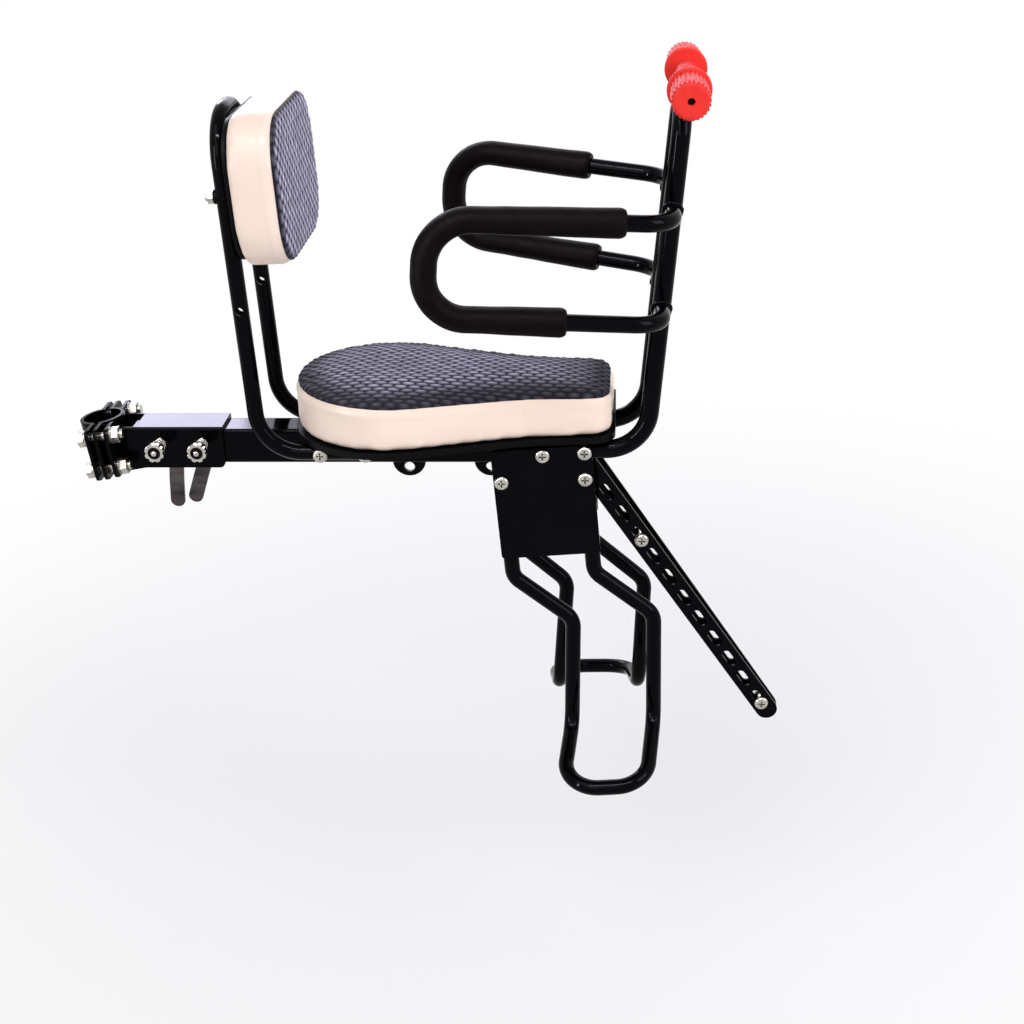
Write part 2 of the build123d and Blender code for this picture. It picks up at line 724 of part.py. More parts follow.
# backrest: a board on two studs, vinyl side band and woven front
with BuildPart() as backrest_board:
    with BuildSketch(REST.offset(-BOARD_T)):
        with Locations((0, REST_UP)):
            RectangleRounded(REST_W - 2 * BOARD_MARGIN, REST_H - 2 * BOARD_MARGIN, REST_ROUND - BOARD_MARGIN)
    extrude(amount=BOARD_T)
    with BuildSketch(REST.offset(-BOARD_T)):
        with GridLocations(2 * BACK_Y, 1, 2, 1):
            Circle(M6 / 2 + SCREW_GAP)
    extrude(amount=BOARD_T, mode=Mode.SUBTRACT)
    with BuildSketch(REST):
        with GridLocations(2 * BACK_Y, 1, 2, 1):
            Circle(REST_HEAD / 2 + SCREW_GAP)
    extrude(amount=-REST_HEAD_T, mode=Mode.SUBTRACT)
keep("backrest_board", backrest_board)

with BuildPart() as backrest_band:
    with BuildSketch(REST):
        with Locations((0, REST_UP)):
            RectangleRounded(REST_W, REST_H, REST_ROUND)
    extrude(amount=REST_BAND)
    fillet(backrest_band.faces().sort_by(Axis(REST.origin, REST.z_dir))[0].edges(), REST_TUCK)
keep("backrest_band", backrest_band)

with BuildPart() as backrest_panel:
    with BuildSketch(REST.offset(REST_BAND)):
        with Locations((0, REST_UP)):
            RectangleRounded(REST_W, REST_H, REST_ROUND)
    extrude(amount=REST_CROWN)
    fillet(backrest_panel.faces().sort_by(Axis(REST.origin, REST.z_dir))[-1].edges(), REST_SOFT)
keep("backrest_panel", backrest_panel)

STUD_REAR = BACK_TUBE / 2 + REST_PAD_T + M6_NUT_T + REST_TAIL
with BuildPart() as backrest_bolts:
    with BuildSketch(REST.offset(-REST_HEAD_T)):
        with GridLocations(2 * BACK_Y, 1, 2, 1):
            Circle(REST_HEAD / 2)
    extrude(amount=REST_HEAD_T)
    with BuildSketch(REST.offset(-REST_HEAD_T)):
        with GridLocations(2 * BACK_Y, 1, 2, 1):
            Circle(M6 / 2)
    extrude(amount=-(REST_STAND - REST_HEAD_T + STUD_REAR))
keep("backrest_bolts", backrest_bolts)

with BuildPart() as backrest_spacers:
    for face in (REST_STAND - BOARD_T, -BACK_TUBE / 2 - REST_PAD_T):
        with BuildSketch(LEG_FACE.offset(face)):
            with GridLocations(2 * BACK_Y, 1, 2, 1):
                Circle(REST_SPACER / 2)
                Circle(M6 / 2 + SCREW_GAP, mode=Mode.SUBTRACT)
        extrude(amount=-face)
    with BuildSketch(Plane((LEG_MID_X, 0, REST_MID_Z), x_dir=(0, 1, 0), z_dir=(-sb, 0, cb))):
        with GridLocations(2 * BACK_Y, 1, 2, 1):
            Circle(BACK_TUBE / 2)
    extrude(amount=2 * BACK_TUBE, both=True, mode=Mode.SUBTRACT)
keep("backrest_spacers", backrest_spacers)

with BuildPart() as backrest_nuts:
    with BuildSketch(LEG_FACE.offset(-BACK_TUBE / 2 - REST_PAD_T)):
        with GridLocations(2 * BACK_Y, 1, 2, 1):
            RegularPolygon(M6_NUT / 2, 6, major_radius=False)
            Circle(M6 / 2 + RUN, mode=Mode.SUBTRACT)
    extrude(amount=-M6_NUT_T)
keep("backrest_nuts", backrest_nuts)

# seat: pressed pan, vinyl side band and woven top
PAN_Z = BEAM_Z + SADDLE_T
SEAT_Z = PAN_Z + PAN_T
flank = radians(FLANK)
LEAVE = (LOBE_X + LOBE_R * sin(flank), LOBE_R * cos(flank))
WAIST_Y = LEAVE[1] - (WAIST_X - LEAVE[0]) * tan(flank)


def seat_outline(plane, margin):
    """The seat seen from above, grown by a margin."""
    with BuildSketch(plane, mode=Mode.PRIVATE) as outline:
        with BuildLine():
            ThreePointArc(LEAVE, (LOBE_X - LOBE_R, 0), (LEAVE[0], -LEAVE[1]))
            FilletPolyline(
                (LEAVE[0], -LEAVE[1]),
                (WAIST_X, -WAIST_Y),
                (NOSE_X, -NOSE_Y),
                (NOSE_X, NOSE_Y),
                (WAIST_X, WAIST_Y),
                LEAVE,
                radius=[WAIST_ROUND, NOSE_ROUND, NOSE_ROUND, WAIST_ROUND],
            )
        make_face()
        if margin:
            offset(amount=margin)
    return outline.sketch


with BuildPart() as seat_pan:
    skirt = Plane.XY.offset(PAN_Z - PAN_SKIRT)
    extrude(seat_outline(skirt, SLIDE + PAN_RIM_T), amount=PAN_SKIRT + PAN_T + PAN_RIM)
    extrude(seat_outline(Plane.XY.offset(SEAT_Z), SLIDE), amount=PAN_RIM, mode=Mode.SUBTRACT)
    extrude(seat_outline(skirt, SLIDE), amount=PAN_SKIRT, mode=Mode.SUBTRACT)
    with BuildSketch(Plane.XY.offset(SEAT_Z)):
        with Locations((NOSE_X + SLIDE + PAN_RIM_T / 2, 0)):
            Rectangle(PAN_RIM_T, 2 * (NOSE_Y - NOSE_ROUND))
    extrude(amount=LIP_H)
    with BuildSketch(Plane.XY):
        with Locations(*both_sides(SEAT_SCREW_REAR), *both_sides(SEAT_SCREW_FRONT)):
            Circle(M6 / 2 + RUN)
    extrude(amount=BEAM, mode=Mode.SUBTRACT)
keep("seat_pan", seat_pan)

fall = radians(SEAT_FALL)
SEAM = Plane(
    (LOBE_X, 0, SEAT_Z + SEAT_BAND),
    x_dir=(cos(fall), 0, -sin(fall)),
    z_dir=(sin(fall), 0, cos(fall)),
)
with BuildPart() as seat_band:
    extrude(seat_outline(Plane.XY.offset(SEAT_Z), 0), amount=SEAT_BAND + LOBE_R)
    split(bisect_by=SEAM, keep=Keep.BOTTOM)
keep("seat_band", seat_band)

with BuildPart() as seat_panel:
    extrude(seat_outline(Plane.XY.offset(SEAT_Z), 0), amount=SEAT_BAND + LOBE_R)
    split(bisect_by=SEAM, keep=Keep.TOP)
    split(bisect_by=SEAM.offset(SEAT_CROWN), keep=Keep.BOTTOM)
    fillet(seat_panel.faces().sort_by(Axis.Z)[-1].edges(), SEAT_SOFT)
keep("seat_panel", seat_panel)

group(
    "seat_screws",
    [
        pan_bolt(Plane((x, y, BEAM_Z), x_dir=(1, 0, 0), z_dir=(0, 0, -1)), SADDLE_T + PAN_T, 0)
        for x, y in both_sides(SEAT_SCREW_REAR) + both_sides(SEAT_SCREW_FRONT)
    ],
)


# foot plates and hoops, placed in the frame of the pivot bolt
def foot_place(name, x, z):
    """A place beside the pivot bolt, turned with the plate of that side."""
    turn = radians(FOOT_TURN[name])
    return (PIVOT_X + x * cos(turn) - z * sin(turn), PIVOT_Z + x * sin(turn) + z * cos(turn))


def foot_plane(name, y):
    """The plane of a foot plate at a given y, with its own x along the plate."""
    turn = radians(FOOT_TURN[name])
    return Plane((PIVOT_X, y, PIVOT_Z), x_dir=(cos(turn), 0, sin(turn)), z_dir=(0, -1, 0))


FRAME_BOLTS = {name: [foot_place(name, *place) for place in TUBE_BOLTS] for name in SIDES}
LEG_BOLT = {name: foot_place(name, LEG_REAR, LEG_BOLT_Z) for name in SIDES}
keep(
    "front_saddle",
    saddle(FRONT_SADDLE_X, FRONT_FLANGE, FRONT_SADDLE_LOW, FRAME_BOLTS, both_sides(SEAT_SCREW_FRONT)),
)

# front frame: one tube bent into an arch with two rearward feet
front_tube = bent_tube(
    [
        (FRONT_RUN_REAR, -FRONT_Y, FRONT_RUN_Z),
        (FRONT_CORNER_X, -FRONT_Y, FRONT_RUN_Z),
        (FRONT_TOP_X, -FRONT_Y, FRONT_TOP_Z),
        (FRONT_TOP_X, FRONT_Y, FRONT_TOP_Z),
        (FRONT_CORNER_X, FRONT_Y, FRONT_RUN_Z),
        (FRONT_RUN_REAR, FRONT_Y, FRONT_RUN_Z),
    ],
    [FRONT_BEND, FRONT_ARCH, FRONT_ARCH, FRONT_BEND],
    FRONT_TUBE,
    FRONT_TUBE - 2 * TUBE_WALL,
)
with BuildPart() as front_frame:
    add(front_tube.part)
    add(cross_y(FRAME_BOLTS["right"], M6 / 2 + SCREW_GAP, -2 * FRONT_Y, 0), mode=Mode.SUBTRACT)
    add(cross_y(FRAME_BOLTS["left"], M6 / 2 + SCREW_GAP, 0, 2 * FRONT_Y), mode=Mode.SUBTRACT)
keep("front_frame", front_frame)
group(
    "front_frame_plugs",
    [tube_plug(FRONT_RUN_REAR, s * FRONT_Y, FRONT_RUN_Z, FRONT_TUBE, -1) for s in (-1, 1)],
)

# handle: a rod on a short stem above the arch, with a moulded grip on each end
with BuildPart() as handle_bar:
    add(cross_y([(HANDLE_X, HANDLE_Z)], HANDLE_ROD / 2, -HANDLE_HALF, HANDLE_HALF))
    with BuildSketch(Plane((FRONT_TOP_X, 0, FRONT_TOP_Z), z_dir=UPRIGHT)):
        Circle(STEM / 2)
    extrude(amount=(HANDLE_Z - FRONT_TOP_Z) / cos(radians(FRONT_LEAN)))
    add(cross_y([(FRONT_TOP_X, FRONT_TOP_Z)], FRONT_TUBE / 2, -FRONT_Y, FRONT_Y), mode=Mode.SUBTRACT)
keep("handle_bar", handle_bar)


def grip(side):
    """A grip with a neck, a flange and a barrel ribbed along its length."""
    with BuildPart() as moulding:
        with BuildSketch(Plane((HANDLE_X, 0, HANDLE_Z), x_dir=(0, side, 0), z_dir=(1, 0, 0))):
            with BuildLine():
                Polyline(
                    (GRIP_IN, HANDLE_ROD / 2 + RUN),
                    (GRIP_IN, GRIP_NECK / 2),
                    (GRIP_FLANGE_Y[0], GRIP_NECK / 2),
                    (GRIP_FLANGE_Y[0], GRIP_FLANGE / 2),
                    (GRIP_FLANGE_Y[1], GRIP_FLANGE / 2),
                    (GRIP_FLANGE_Y[1], GRIP_BARREL / 2),
                    (GRIP_END, GRIP_BARREL / 2),
                    (GRIP_END, GRIP_HOLE / 2),
                    (HANDLE_HALF, GRIP_HOLE / 2),
                    (HANDLE_HALF, HANDLE_ROD / 2 + RUN),
                    close=True,
                )
            make_face()
        revolve(axis=Axis((HANDLE_X, 0, HANDLE_Z), (0, 1, 0)))
        rims = moulding.edges().filter_by(GeomType.CIRCLE)
        fillet(rims.group_by(SortBy.RADIUS)[-1], GRIP_FLANGE_EDGE)
        ends = [rim for rim in rims if abs(abs(rim.center().Y) - GRIP_END) < 0.1 and rim.radius > GRIP_HOLE]
        fillet(ends, GRIP_END_EDGE)
        with BuildSketch(side_plane(HANDLE_X, side * GRIP_FLANGE_Y[1], HANDLE_Z, side)):
            with PolarLocations(GRIP_BARREL / 2, GRIP_RIBS):
                Circle(GRIP_RIB_R)
        extrude(amount=GRIP_END - GRIP_FLANGE_Y[1] - GRIP_LAND)
    return moulding


# guard hoops and their foam
def hoop_point(x, z, side):
    """A place in the splayed plane of a guard hoop."""
    return (x, side * (HOOP_REAR_Y - HOOP_SPLAY * (x - HOOP_REAR_X)), z)


def upright_x(z):
    """Where the upright's axis is at a height."""
    return FRONT_CORNER_X + (z - FRONT_RUN_Z) * FRONT_SLOPE


RAIL_UPPER_X = HOOP_REAR_X + RAIL_REAR_LEAN
RAIL_LOWER_X = HOOP_REAR_X - RAIL_REAR_LEAN
RAIL_LOWER_Z = RAIL_REAR_Z - RAIL_SPACING


def rail_front_z(rear_x, rear_z, fall):
    """The height where a falling rail meets the upright's axis."""
    reach = upright_x(0) - rear_x
    return (rear_z - fall * reach) / (1 + fall * FRONT_SLOPE)


UPPER_FRONT_Z = rail_front_z(RAIL_UPPER_X, RAIL_REAR_Z, RAIL_FALL)
LOWER_FRONT_Z = rail_front_z(RAIL_LOWER_X, RAIL_LOWER_Z, RAIL_LOWER_FALL)


def guard_hoop(side):
    """A tube from the upright, round the child's side and back to the upright."""
    upper = hoop_point(upright_x(UPPER_FRONT_Z), UPPER_FRONT_Z, side)
    lower = hoop_point(upright_x(LOWER_FRONT_Z), LOWER_FRONT_Z, side)
    blank = bent_tube(
        [
            (upper[0], side * (FRONT_Y + 1), upper[2]),
            upper,
            hoop_point(RAIL_UPPER_X, RAIL_REAR_Z, side),
            hoop_point(RAIL_LOWER_X, RAIL_LOWER_Z, side),
            lower,
            (lower[0], side * (FRONT_Y + 1), lower[2]),
        ],
        [RAIL_CORNER, RAIL_BEND, RAIL_BEND, RAIL_CORNER],
        RAIL_TUBE,
        RAIL_TUBE - 2 * TUBE_WALL,
    )
    with BuildPart() as hoop:
        add(blank.part)
        with BuildSketch(Plane((FRONT_CORNER_X, side * FRONT_Y, FRONT_RUN_Z), z_dir=UPRIGHT)):
            Circle(FRONT_TUBE / 2)
        extrude(amount=FRONT_TOP_Z - FRONT_RUN_Z, mode=Mode.SUBTRACT)
    return hoop


def guard_foam(name, side):
    """A foam sleeve round the rear of a guard hoop."""
    upper_x = FOAM_UPPER_X[name]
    lower_x = FOAM_LOWER_X[name]
    return bent_tube(
        [
            hoop_point(upper_x, RAIL_REAR_Z - RAIL_FALL * (upper_x - RAIL_UPPER_X), side),
            hoop_point(RAIL_UPPER_X, RAIL_REAR_Z, side),
            hoop_point(RAIL_LOWER_X, RAIL_LOWER_Z, side),
            hoop_point(lower_x, RAIL_LOWER_Z - RAIL_LOWER_FALL * (lower_x - RAIL_LOWER_X), side),
        ],
        [RAIL_BEND, RAIL_BEND],
        FOAM,
        RAIL_TUBE + 2 * RUN,
    )


def foot_hoop(name, side):
    """A stirrup: two legs that step forward, then turn outward into a footrest."""

    def point(x, y, z):
        place = foot_place(name, x, z)
        return (place[0], side * y, place[1])

    tube = bent_tube(
        [
            point(LEG_REAR, HOOP_Y, LEG_TOP),
            point(LEG_REAR, HOOP_Y, KNEE_Z),
            point(LEG_REAR + STEP_X, HOOP_Y, STEP_Z),
            point(ANKLE_X[0], HOOP_Y, ANKLE_Z),
            point(ANKLE_X[0] - FOOT_BACK, FOOT_Y, FOOT_Z),
            point(ANKLE_X[1] - FOOT_BACK, FOOT_Y, FOOT_Z),
            point(ANKLE_X[1], HOOP_Y, ANKLE_Z),
            point(STEP_X, HOOP_Y, STEP_Z),
            point(0, HOOP_Y, KNEE_Z),
            point(0, HOOP_Y, LEG_TOP),
        ],
        [KNEE_BEND, STEP_BEND, ANKLE_BEND, FOOT_BEND, FOOT_BEND, ANKLE_BEND, STEP_BEND, KNEE_BEND],
        HOOP_TUBE,
        HOOP_TUBE - 2 * TUBE_WALL,
    )
    places = [LEG_BOLT[name], (PIVOT_X, PIVOT_Z)]
    return drill_y(tube.part, places, M6 / 2 + SCREW_GAP, min(0, side * PLATE_OUT), max(0, side * PLATE_OUT))


def foot_plate(name, side):
    """A flat plate that joins the foot hoop to the front frame."""
    with BuildPart() as plate:
        with BuildSketch(foot_plane(name, side * PLATE_IN)):
            with Locations((sum(PLATE_X) / 2, sum(PLATE_Z) / 2)):
                RectangleRounded(PLATE_X[1] - PLATE_X[0], PLATE_Z[1] - PLATE_Z[0], PLATE_ROUND)
            with Locations((0, 0), (LEG_REAR, LEG_BOLT_Z), *TUBE_BOLTS):
                Circle(M6 / 2 + SCREW_GAP, mode=Mode.SUBTRACT)
        extrude(amount=-side * PLATE_T)
    return plate


foot_bolts = []
foot_nuts = []
for name, side in SIDES.items():
    keep(f"handle_grip_{name}", grip(side))
    keep(f"guard_hoop_{name}", guard_hoop(side))
    keep(f"guard_foam_{name}", guard_foam(name, side))
    keep(f"foot_hoop_{name}", foot_hoop(name, side))
    keep(f"foot_plate_{name}", foot_plate(name, side))
    stacks = [(place, FRONT_FLANGE - SADDLE_T) for place in FRAME_BOLTS[name]]
    stacks.append((LEG_BOLT[name], HOOP_Y - HOOP_TUBE / 2))
    for (x, z), inner in stacks:
        head = side_plane(x, side * PLATE_OUT, z, side)
        seat = side_plane(x, side * inner, z, -side)
        foot_bolts.append(pan_bolt(head, PLATE_OUT - inner, M6_NUT_T + M6_TAIL))
        foot_nuts.append(hex_nut(seat, M6_NUT, M6 + 2 * RUN, M6_NUT_T))
group("foot_bolts", foot_bolts)
group("foot_nuts", foot_nuts)

# strut: two slotted bars on the pivot bolt, drawing together toward their far end
keep("pivot_bolt", pan_bolt(side_plane(PIVOT_X, -PLATE_OUT, PIVOT_Z, -1), 2 * PLATE_OUT, M6_NUT_T + M6_TAIL))
keep("pivot_nut", hex_nut(side_plane(PIVOT_X, PLATE_OUT, PIVOT_Z, 1), M6_NUT, M6 + 2 * RUN, M6_NUT_T))

with BuildPart() as pivot_spacers:
    leg_inner = HOOP_Y - HOOP_TUBE / 2
    bar_inner = STRUT_HALF - STRUT_T - SIDE_GAP
    bar_outer = STRUT_HALF + SIDE_GAP
    side_length = leg_inner - bar_outer
    for start, length in ((-leg_inner, side_length), (-bar_inner, 2 * bar_inner), (bar_outer, side_length)):
        with BuildSketch(side_plane(PIVOT_X, start, PIVOT_Z, 1)):
            Circle(SPACER / 2)
            Circle(M6 / 2 + RUN, mode=Mode.SUBTRACT)
        extrude(amount=length)
keep("pivot_spacers", pivot_spacers)

strut_turn = radians(STRUT_DROP)
draw_in = asin((STRUT_HALF - STRUT_END_HALF) / STRUT_L)


def strut_half(along):
    """Half the width over the outer faces of the strut, a distance from the pivot."""
    return STRUT_HALF - along * tan(draw_in)


def strut_bar(side):
    """A flat bar with round ends and a row of slots."""
    run = (cos(draw_in) * cos(strut_turn), -side * sin(draw_in), -cos(draw_in) * sin(strut_turn))
    face = (sin(draw_in) * cos(strut_turn), side * cos(draw_in), -sin(draw_in) * sin(strut_turn))
    start = (PIVOT_X, side * (STRUT_HALF - STRUT_T / 2), PIVOT_Z)
    with BuildPart() as bar:
        with BuildSketch(Plane(start, x_dir=run, z_dir=face)):
            with Locations((STRUT_L / 2, 0)):
                SlotCenterToCenter(STRUT_L, STRUT_W)
            with Locations(*[(SLOT_FIRST + SLOT_PITCH * i, 0) for i in range(SLOT_COUNT)]):
                SlotOverall(SLOT_L, SLOT_W, mode=Mode.SUBTRACT)
        extrude(amount=STRUT_T / 2, both=True)
        add(cross_y([(PIVOT_X, PIVOT_Z)], M6 / 2 + RUN, -FRONT_Y, FRONT_Y), mode=Mode.SUBTRACT)
    return bar


strut_bolts = []
strut_nuts = []
for name, side in SIDES.items():
    keep(f"strut_bar_{name}", strut_bar(side))
for slot in STRUT_BOLT_SLOTS:
    along = SLOT_FIRST + SLOT_PITCH * slot + (SLOT_L - SLOT_W) / 2
    x = PIVOT_X + along * cos(strut_turn)
    z = PIVOT_Z - along * sin(strut_turn)
    face_y = strut_half(along) + SCREW_GAP
    strut_bolts.append(pan_bolt(side_plane(x, -face_y, z, -1), 2 * face_y, M6_NUT_T + M6_TAIL))
    strut_nuts.append(hex_nut(side_plane(x, face_y, z, 1), M6_NUT, M6 + 2 * RUN, M6_NUT_T))
group("strut_bolts", strut_bolts)
group("strut_nuts", strut_nuts)
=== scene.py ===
import bpy
import bmesh
import math
import numpy as np
from mathutils import Matrix, Vector, noise


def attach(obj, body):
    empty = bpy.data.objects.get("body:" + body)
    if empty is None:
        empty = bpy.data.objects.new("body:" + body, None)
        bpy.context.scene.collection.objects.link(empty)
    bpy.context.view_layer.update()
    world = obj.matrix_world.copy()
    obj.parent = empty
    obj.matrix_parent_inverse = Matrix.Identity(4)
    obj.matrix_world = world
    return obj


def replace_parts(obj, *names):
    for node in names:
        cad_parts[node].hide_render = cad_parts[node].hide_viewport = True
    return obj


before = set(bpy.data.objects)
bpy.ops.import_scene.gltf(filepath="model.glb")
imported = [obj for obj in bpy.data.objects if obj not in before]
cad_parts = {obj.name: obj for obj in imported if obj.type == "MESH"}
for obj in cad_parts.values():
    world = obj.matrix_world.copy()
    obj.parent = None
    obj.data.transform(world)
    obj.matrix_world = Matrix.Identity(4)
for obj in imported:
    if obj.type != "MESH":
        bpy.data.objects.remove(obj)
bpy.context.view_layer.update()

# Stage: a wide pale floor well below the seat, because the part is carried by a clamp and stands on nothing.
# A white surround lights it softly from all round, with a broad key, lamps in front and to the right and a
# cool panel behind. Two cards and two strips light nothing, and show only as glints on shiny surfaces.
scene = bpy.context.scene
scene.view_settings.view_transform = "Standard"


def seen_rays(tree):
    """A mask of the rays that look at a surface: from the camera, by reflection or through glass."""
    path = tree.nodes.new("ShaderNodeLightPath")
    mask = path.outputs["Is Camera Ray"]
    for ray in ("Is Glossy Ray", "Is Transmission Ray"):
        either = tree.nodes.new("ShaderNodeMath")
        either.operation = "MAXIMUM"
        tree.links.new(mask, either.inputs[0])
        tree.links.new(path.outputs[ray], either.inputs[1])
        mask = either.outputs[0]
    return mask


world = bpy.data.worlds.new("white_studio")
scene.world = world
world.use_nodes = True
wn, wl = world.node_tree.nodes, world.node_tree.links
wn.clear()
w_out = wn.new("ShaderNodeOutputWorld")
w_seen = wn.new("ShaderNodeBackground")
w_seen.inputs["Color"].default_value = (1, 1, 1, 1)
w_seen.inputs["Strength"].default_value = 1.0
w_light = wn.new("ShaderNodeBackground")
w_light.inputs["Color"].default_value = (0.96, 0.97, 1.0, 1)
w_light.inputs["Strength"].default_value = 0.42
w_mix = wn.new("ShaderNodeMixShader")
wl.new(seen_rays(world.node_tree), w_mix.inputs[0])
wl.new(w_light.outputs[0], w_mix.inputs[1])
wl.new(w_seen.outputs[0], w_mix.inputs[2])
wl.new(w_mix.outputs[0], w_out.inputs["Surface"])

FLOOR_Z = -0.5
FLOOR_HALF = 9
floor_mesh = bpy.data.meshes.new("floor")
floor_corners = [(x * FLOOR_HALF, y * FLOOR_HALF, FLOOR_Z) for x, y in ((-1, -1), (1, -1), (1, 1), (-1, 1))]
floor_mesh.from_pydata(floor_corners, [], [(0, 1, 2, 3)])
floor = bpy.data.objects.new("floor", floor_mesh)
scene.collection.objects.link(floor)
floor_mat = bpy.data.materials.new("pale_floor")
floor_mat.use_nodes = True
fn, fl = floor_mat.node_tree.nodes, floor_mat.node_tree.links
floor_bsdf = fn["Principled BSDF"]
floor_bsdf.inputs["Base Color"].default_value = (0.80, 0.80, 0.81, 1)
floor_bsdf.inputs["Roughness"].default_value = 0.9
floor_bsdf.inputs["Specular IOR Level"].default_value = 0.0
floor_white = fn.new("ShaderNodeEmission")
floor_white.inputs["Color"].default_value = (1, 1, 1, 1)
floor_white.inputs["Strength"].default_value = 1.0
floor_place = fn.new("ShaderNodeTexCoord")
floor_away = fn.new("ShaderNodeVectorMath")
floor_away.operation = "DISTANCE"
floor_away.inputs[1].default_value = (0.45, 0.30, FLOOR_Z)
floor_far = fn.new("ShaderNodeMapRange")
floor_far.interpolation_type = "SMOOTHSTEP"
floor_far.inputs["From Min"].default_value = 0.35
floor_far.inputs["From Max"].default_value = 1.25
floor_far.inputs["To Min"].default_value = 0.35
floor_blend = fn.new("ShaderNodeMath")
floor_blend.operation = "MULTIPLY"
floor_mix = fn.new("ShaderNodeMixShader")
fl.new(floor_place.outputs["Object"], floor_away.inputs[0])
fl.new(floor_away.outputs["Value"], floor_far.inputs["Value"])
fl.new(floor_far.outputs["Result"], floor_blend.inputs[0])
fl.new(seen_rays(floor_mat.node_tree), floor_blend.inputs[1])
fl.new(floor_blend.outputs[0], floor_mix.inputs[0])
fl.new(floor_bsdf.outputs[0], floor_mix.inputs[1])
fl.new(floor_white.outputs[0], floor_mix.inputs[2])
fl.new(floor_mix.outputs[0], fn["Material Output"].inputs["Surface"])
floor_mesh.materials.append(floor_mat)


def soft_lamp(name, place, target, size, power, colour, only_glints=False):
    """A rectangular area lamp at a place, turned to a target; a card for glints lights nothing else."""
    lamp = bpy.data.lights.new(name, "AREA")
    lamp.shape = "RECTANGLE"
    lamp.energy = power
    lamp.size, lamp.size_y = size
    lamp.color = colour
    holder = bpy.data.objects.new(name, lamp)
    holder.location = place
    holder.rotation_mode = "QUATERNION"
    holder.rotation_quaternion = (Vector(target) - Vector(place)).to_track_quat("-Z", "Y")
    holder.visible_diffuse = not only_glints
    scene.collection.objects.link(holder)


soft_lamp("front_lamp", (-0.4, -2.4, 1.5), (0.3, 0, 0.0), (1.2, 1.2), 15, (1.0, 0.97, 0.94))
soft_lamp("right_lamp", (2.3, -1.0, 1.1), (0.3, 0, 0.1), (1.0, 1.4), 30, (1.0, 0.97, 0.97))
soft_lamp("back_panel", (0.05, 2.3, 1.2), (0.2, 0, 0.05), (2.2, 1.4), 22, (0.86, 0.84, 1.0))
soft_lamp("back_card", (0.05, 2.3, 1.2), (0.2, 0, 0.05), (2.2, 1.4), 20, (0.80, 0.76, 1.0), True)
soft_lamp("sky_card", (-0.66, 2.2, 0.95), (0.08, 0, 0.02), (0.5, 0.5), 10, (0.78, 0.76, 1.0), True)
soft_lamp("left_strip", (-1.6, -1.6, 0.5), (0.3, 0, 0.1), (0.10, 1.6), 55, (1.0, 0.98, 1.0), True)
soft_lamp("top_strip", (0.4, -1.3, 2.1), (0.35, 0, 0.1), (1.7, 0.10), 55, (1.0, 0.98, 1.0), True)
key = bpy.data.lights.new("key_light", "SUN")
key.energy = 1.0
key.angle = math.radians(40)
key_holder = bpy.data.objects.new("key_light", key)
key_holder.rotation_mode = "QUATERNION"
key_holder.rotation_quaternion = Vector((0.35, 0.45, -0.82)).to_track_quat("-Z", "Y")
scene.collection.objects.link(key_holder)

# Camera: from the photograph's side, off the seat's right flank and looking a little down on it.
# Its lens and turn come from the vanishing points of the beam and of the lines across the seat.
EYE = Vector((0.4713, -1.4096, 0.5637))
camera_data = bpy.data.cameras.new("camera")
camera_data.sensor_width = 36
camera_data.lens = 59.77
camera = bpy.data.objects.new("camera", camera_data)
right = Vector((0.9977, 0.0631, -0.0263)).normalized()
ahead = Vector((-0.0684, 0.9097, -0.4096)).normalized()
above = right.cross(ahead).normalized()
right = ahead.cross(above).normalized()
camera.matrix_world = Matrix(
    (
        (right.x, above.x, -ahead.x, EYE.x),
        (right.y, above.y, -ahead.y, EYE.y),
        (right.z, above.z, -ahead.z, EYE.z),
        (0, 0, 0, 1),
    )
)
scene.collection.objects.link(camera)
scene.camera = camera


# Painted steel: clamp, sleeve, beam, saddles, tube frames, plates, hoops and strut bars.
# Mild steel, welded, then powder coated a deep gloss black with a faint orange peel.
def shader_group(name, ins, outs):
    """An empty shader node group with float or colour sockets."""
    group = bpy.data.node_groups.new(name, "ShaderNodeTree")
    for label, kind, value in ins:
        socket = group.interface.new_socket(label, in_out="INPUT", socket_type=kind)
        socket.default_value = value
    for label, kind in outs:
        group.interface.new_socket(label, in_out="OUTPUT", socket_type=kind)
    return group, group.nodes.new("NodeGroupInput"), group.nodes.new("NodeGroupOutput")


mottle, m_in, m_out = shader_group(
    "surface_mottle",
    [
        ("Tone A", "NodeSocketColor", (0, 0, 0, 1)),
        ("Tone B", "NodeSocketColor", (0, 0, 0, 1)),
        ("Cloud Scale", "NodeSocketFloat", 30.0),
        ("Grain Scale", "NodeSocketFloat", 900.0),
        ("Rough Low", "NodeSocketFloat", 0.2),
        ("Rough High", "NodeSocketFloat", 0.4),
    ],
    [("Color", "NodeSocketColor"), ("Roughness", "NodeSocketFloat"), ("Height", "NodeSocketFloat")],
)
mn, ml = mottle.nodes, mottle.links
m_co = mn.new("ShaderNodeTexCoord")
m_cloud = mn.new("ShaderNodeTexNoise")
m_cloud.inputs["Detail"].default_value = 5
m_grain = mn.new("ShaderNodeTexNoise")
m_grain.inputs["Detail"].default_value = 3
m_mix = mn.new("ShaderNodeMix")
m_mix.data_type = "RGBA"
m_rough = mn.new("ShaderNodeMapRange")
m_rough.inputs["From Min"].default_value = 0.3
m_rough.inputs["From Max"].default_value = 0.7
ml.new(m_co.outputs["Object"], m_cloud.inputs["Vector"])
ml.new(m_co.outputs["Object"], m_grain.inputs["Vector"])
ml.new(m_in.outputs["Cloud Scale"], m_cloud.inputs["Scale"])
ml.new(m_in.outputs["Grain Scale"], m_grain.inputs["Scale"])
ml.new(m_cloud.outputs["Fac"], m_mix.inputs["Factor"])
ml.new(m_in.outputs["Tone A"], m_mix.inputs["A"])
ml.new(m_in.outputs["Tone B"], m_mix.inputs["B"])
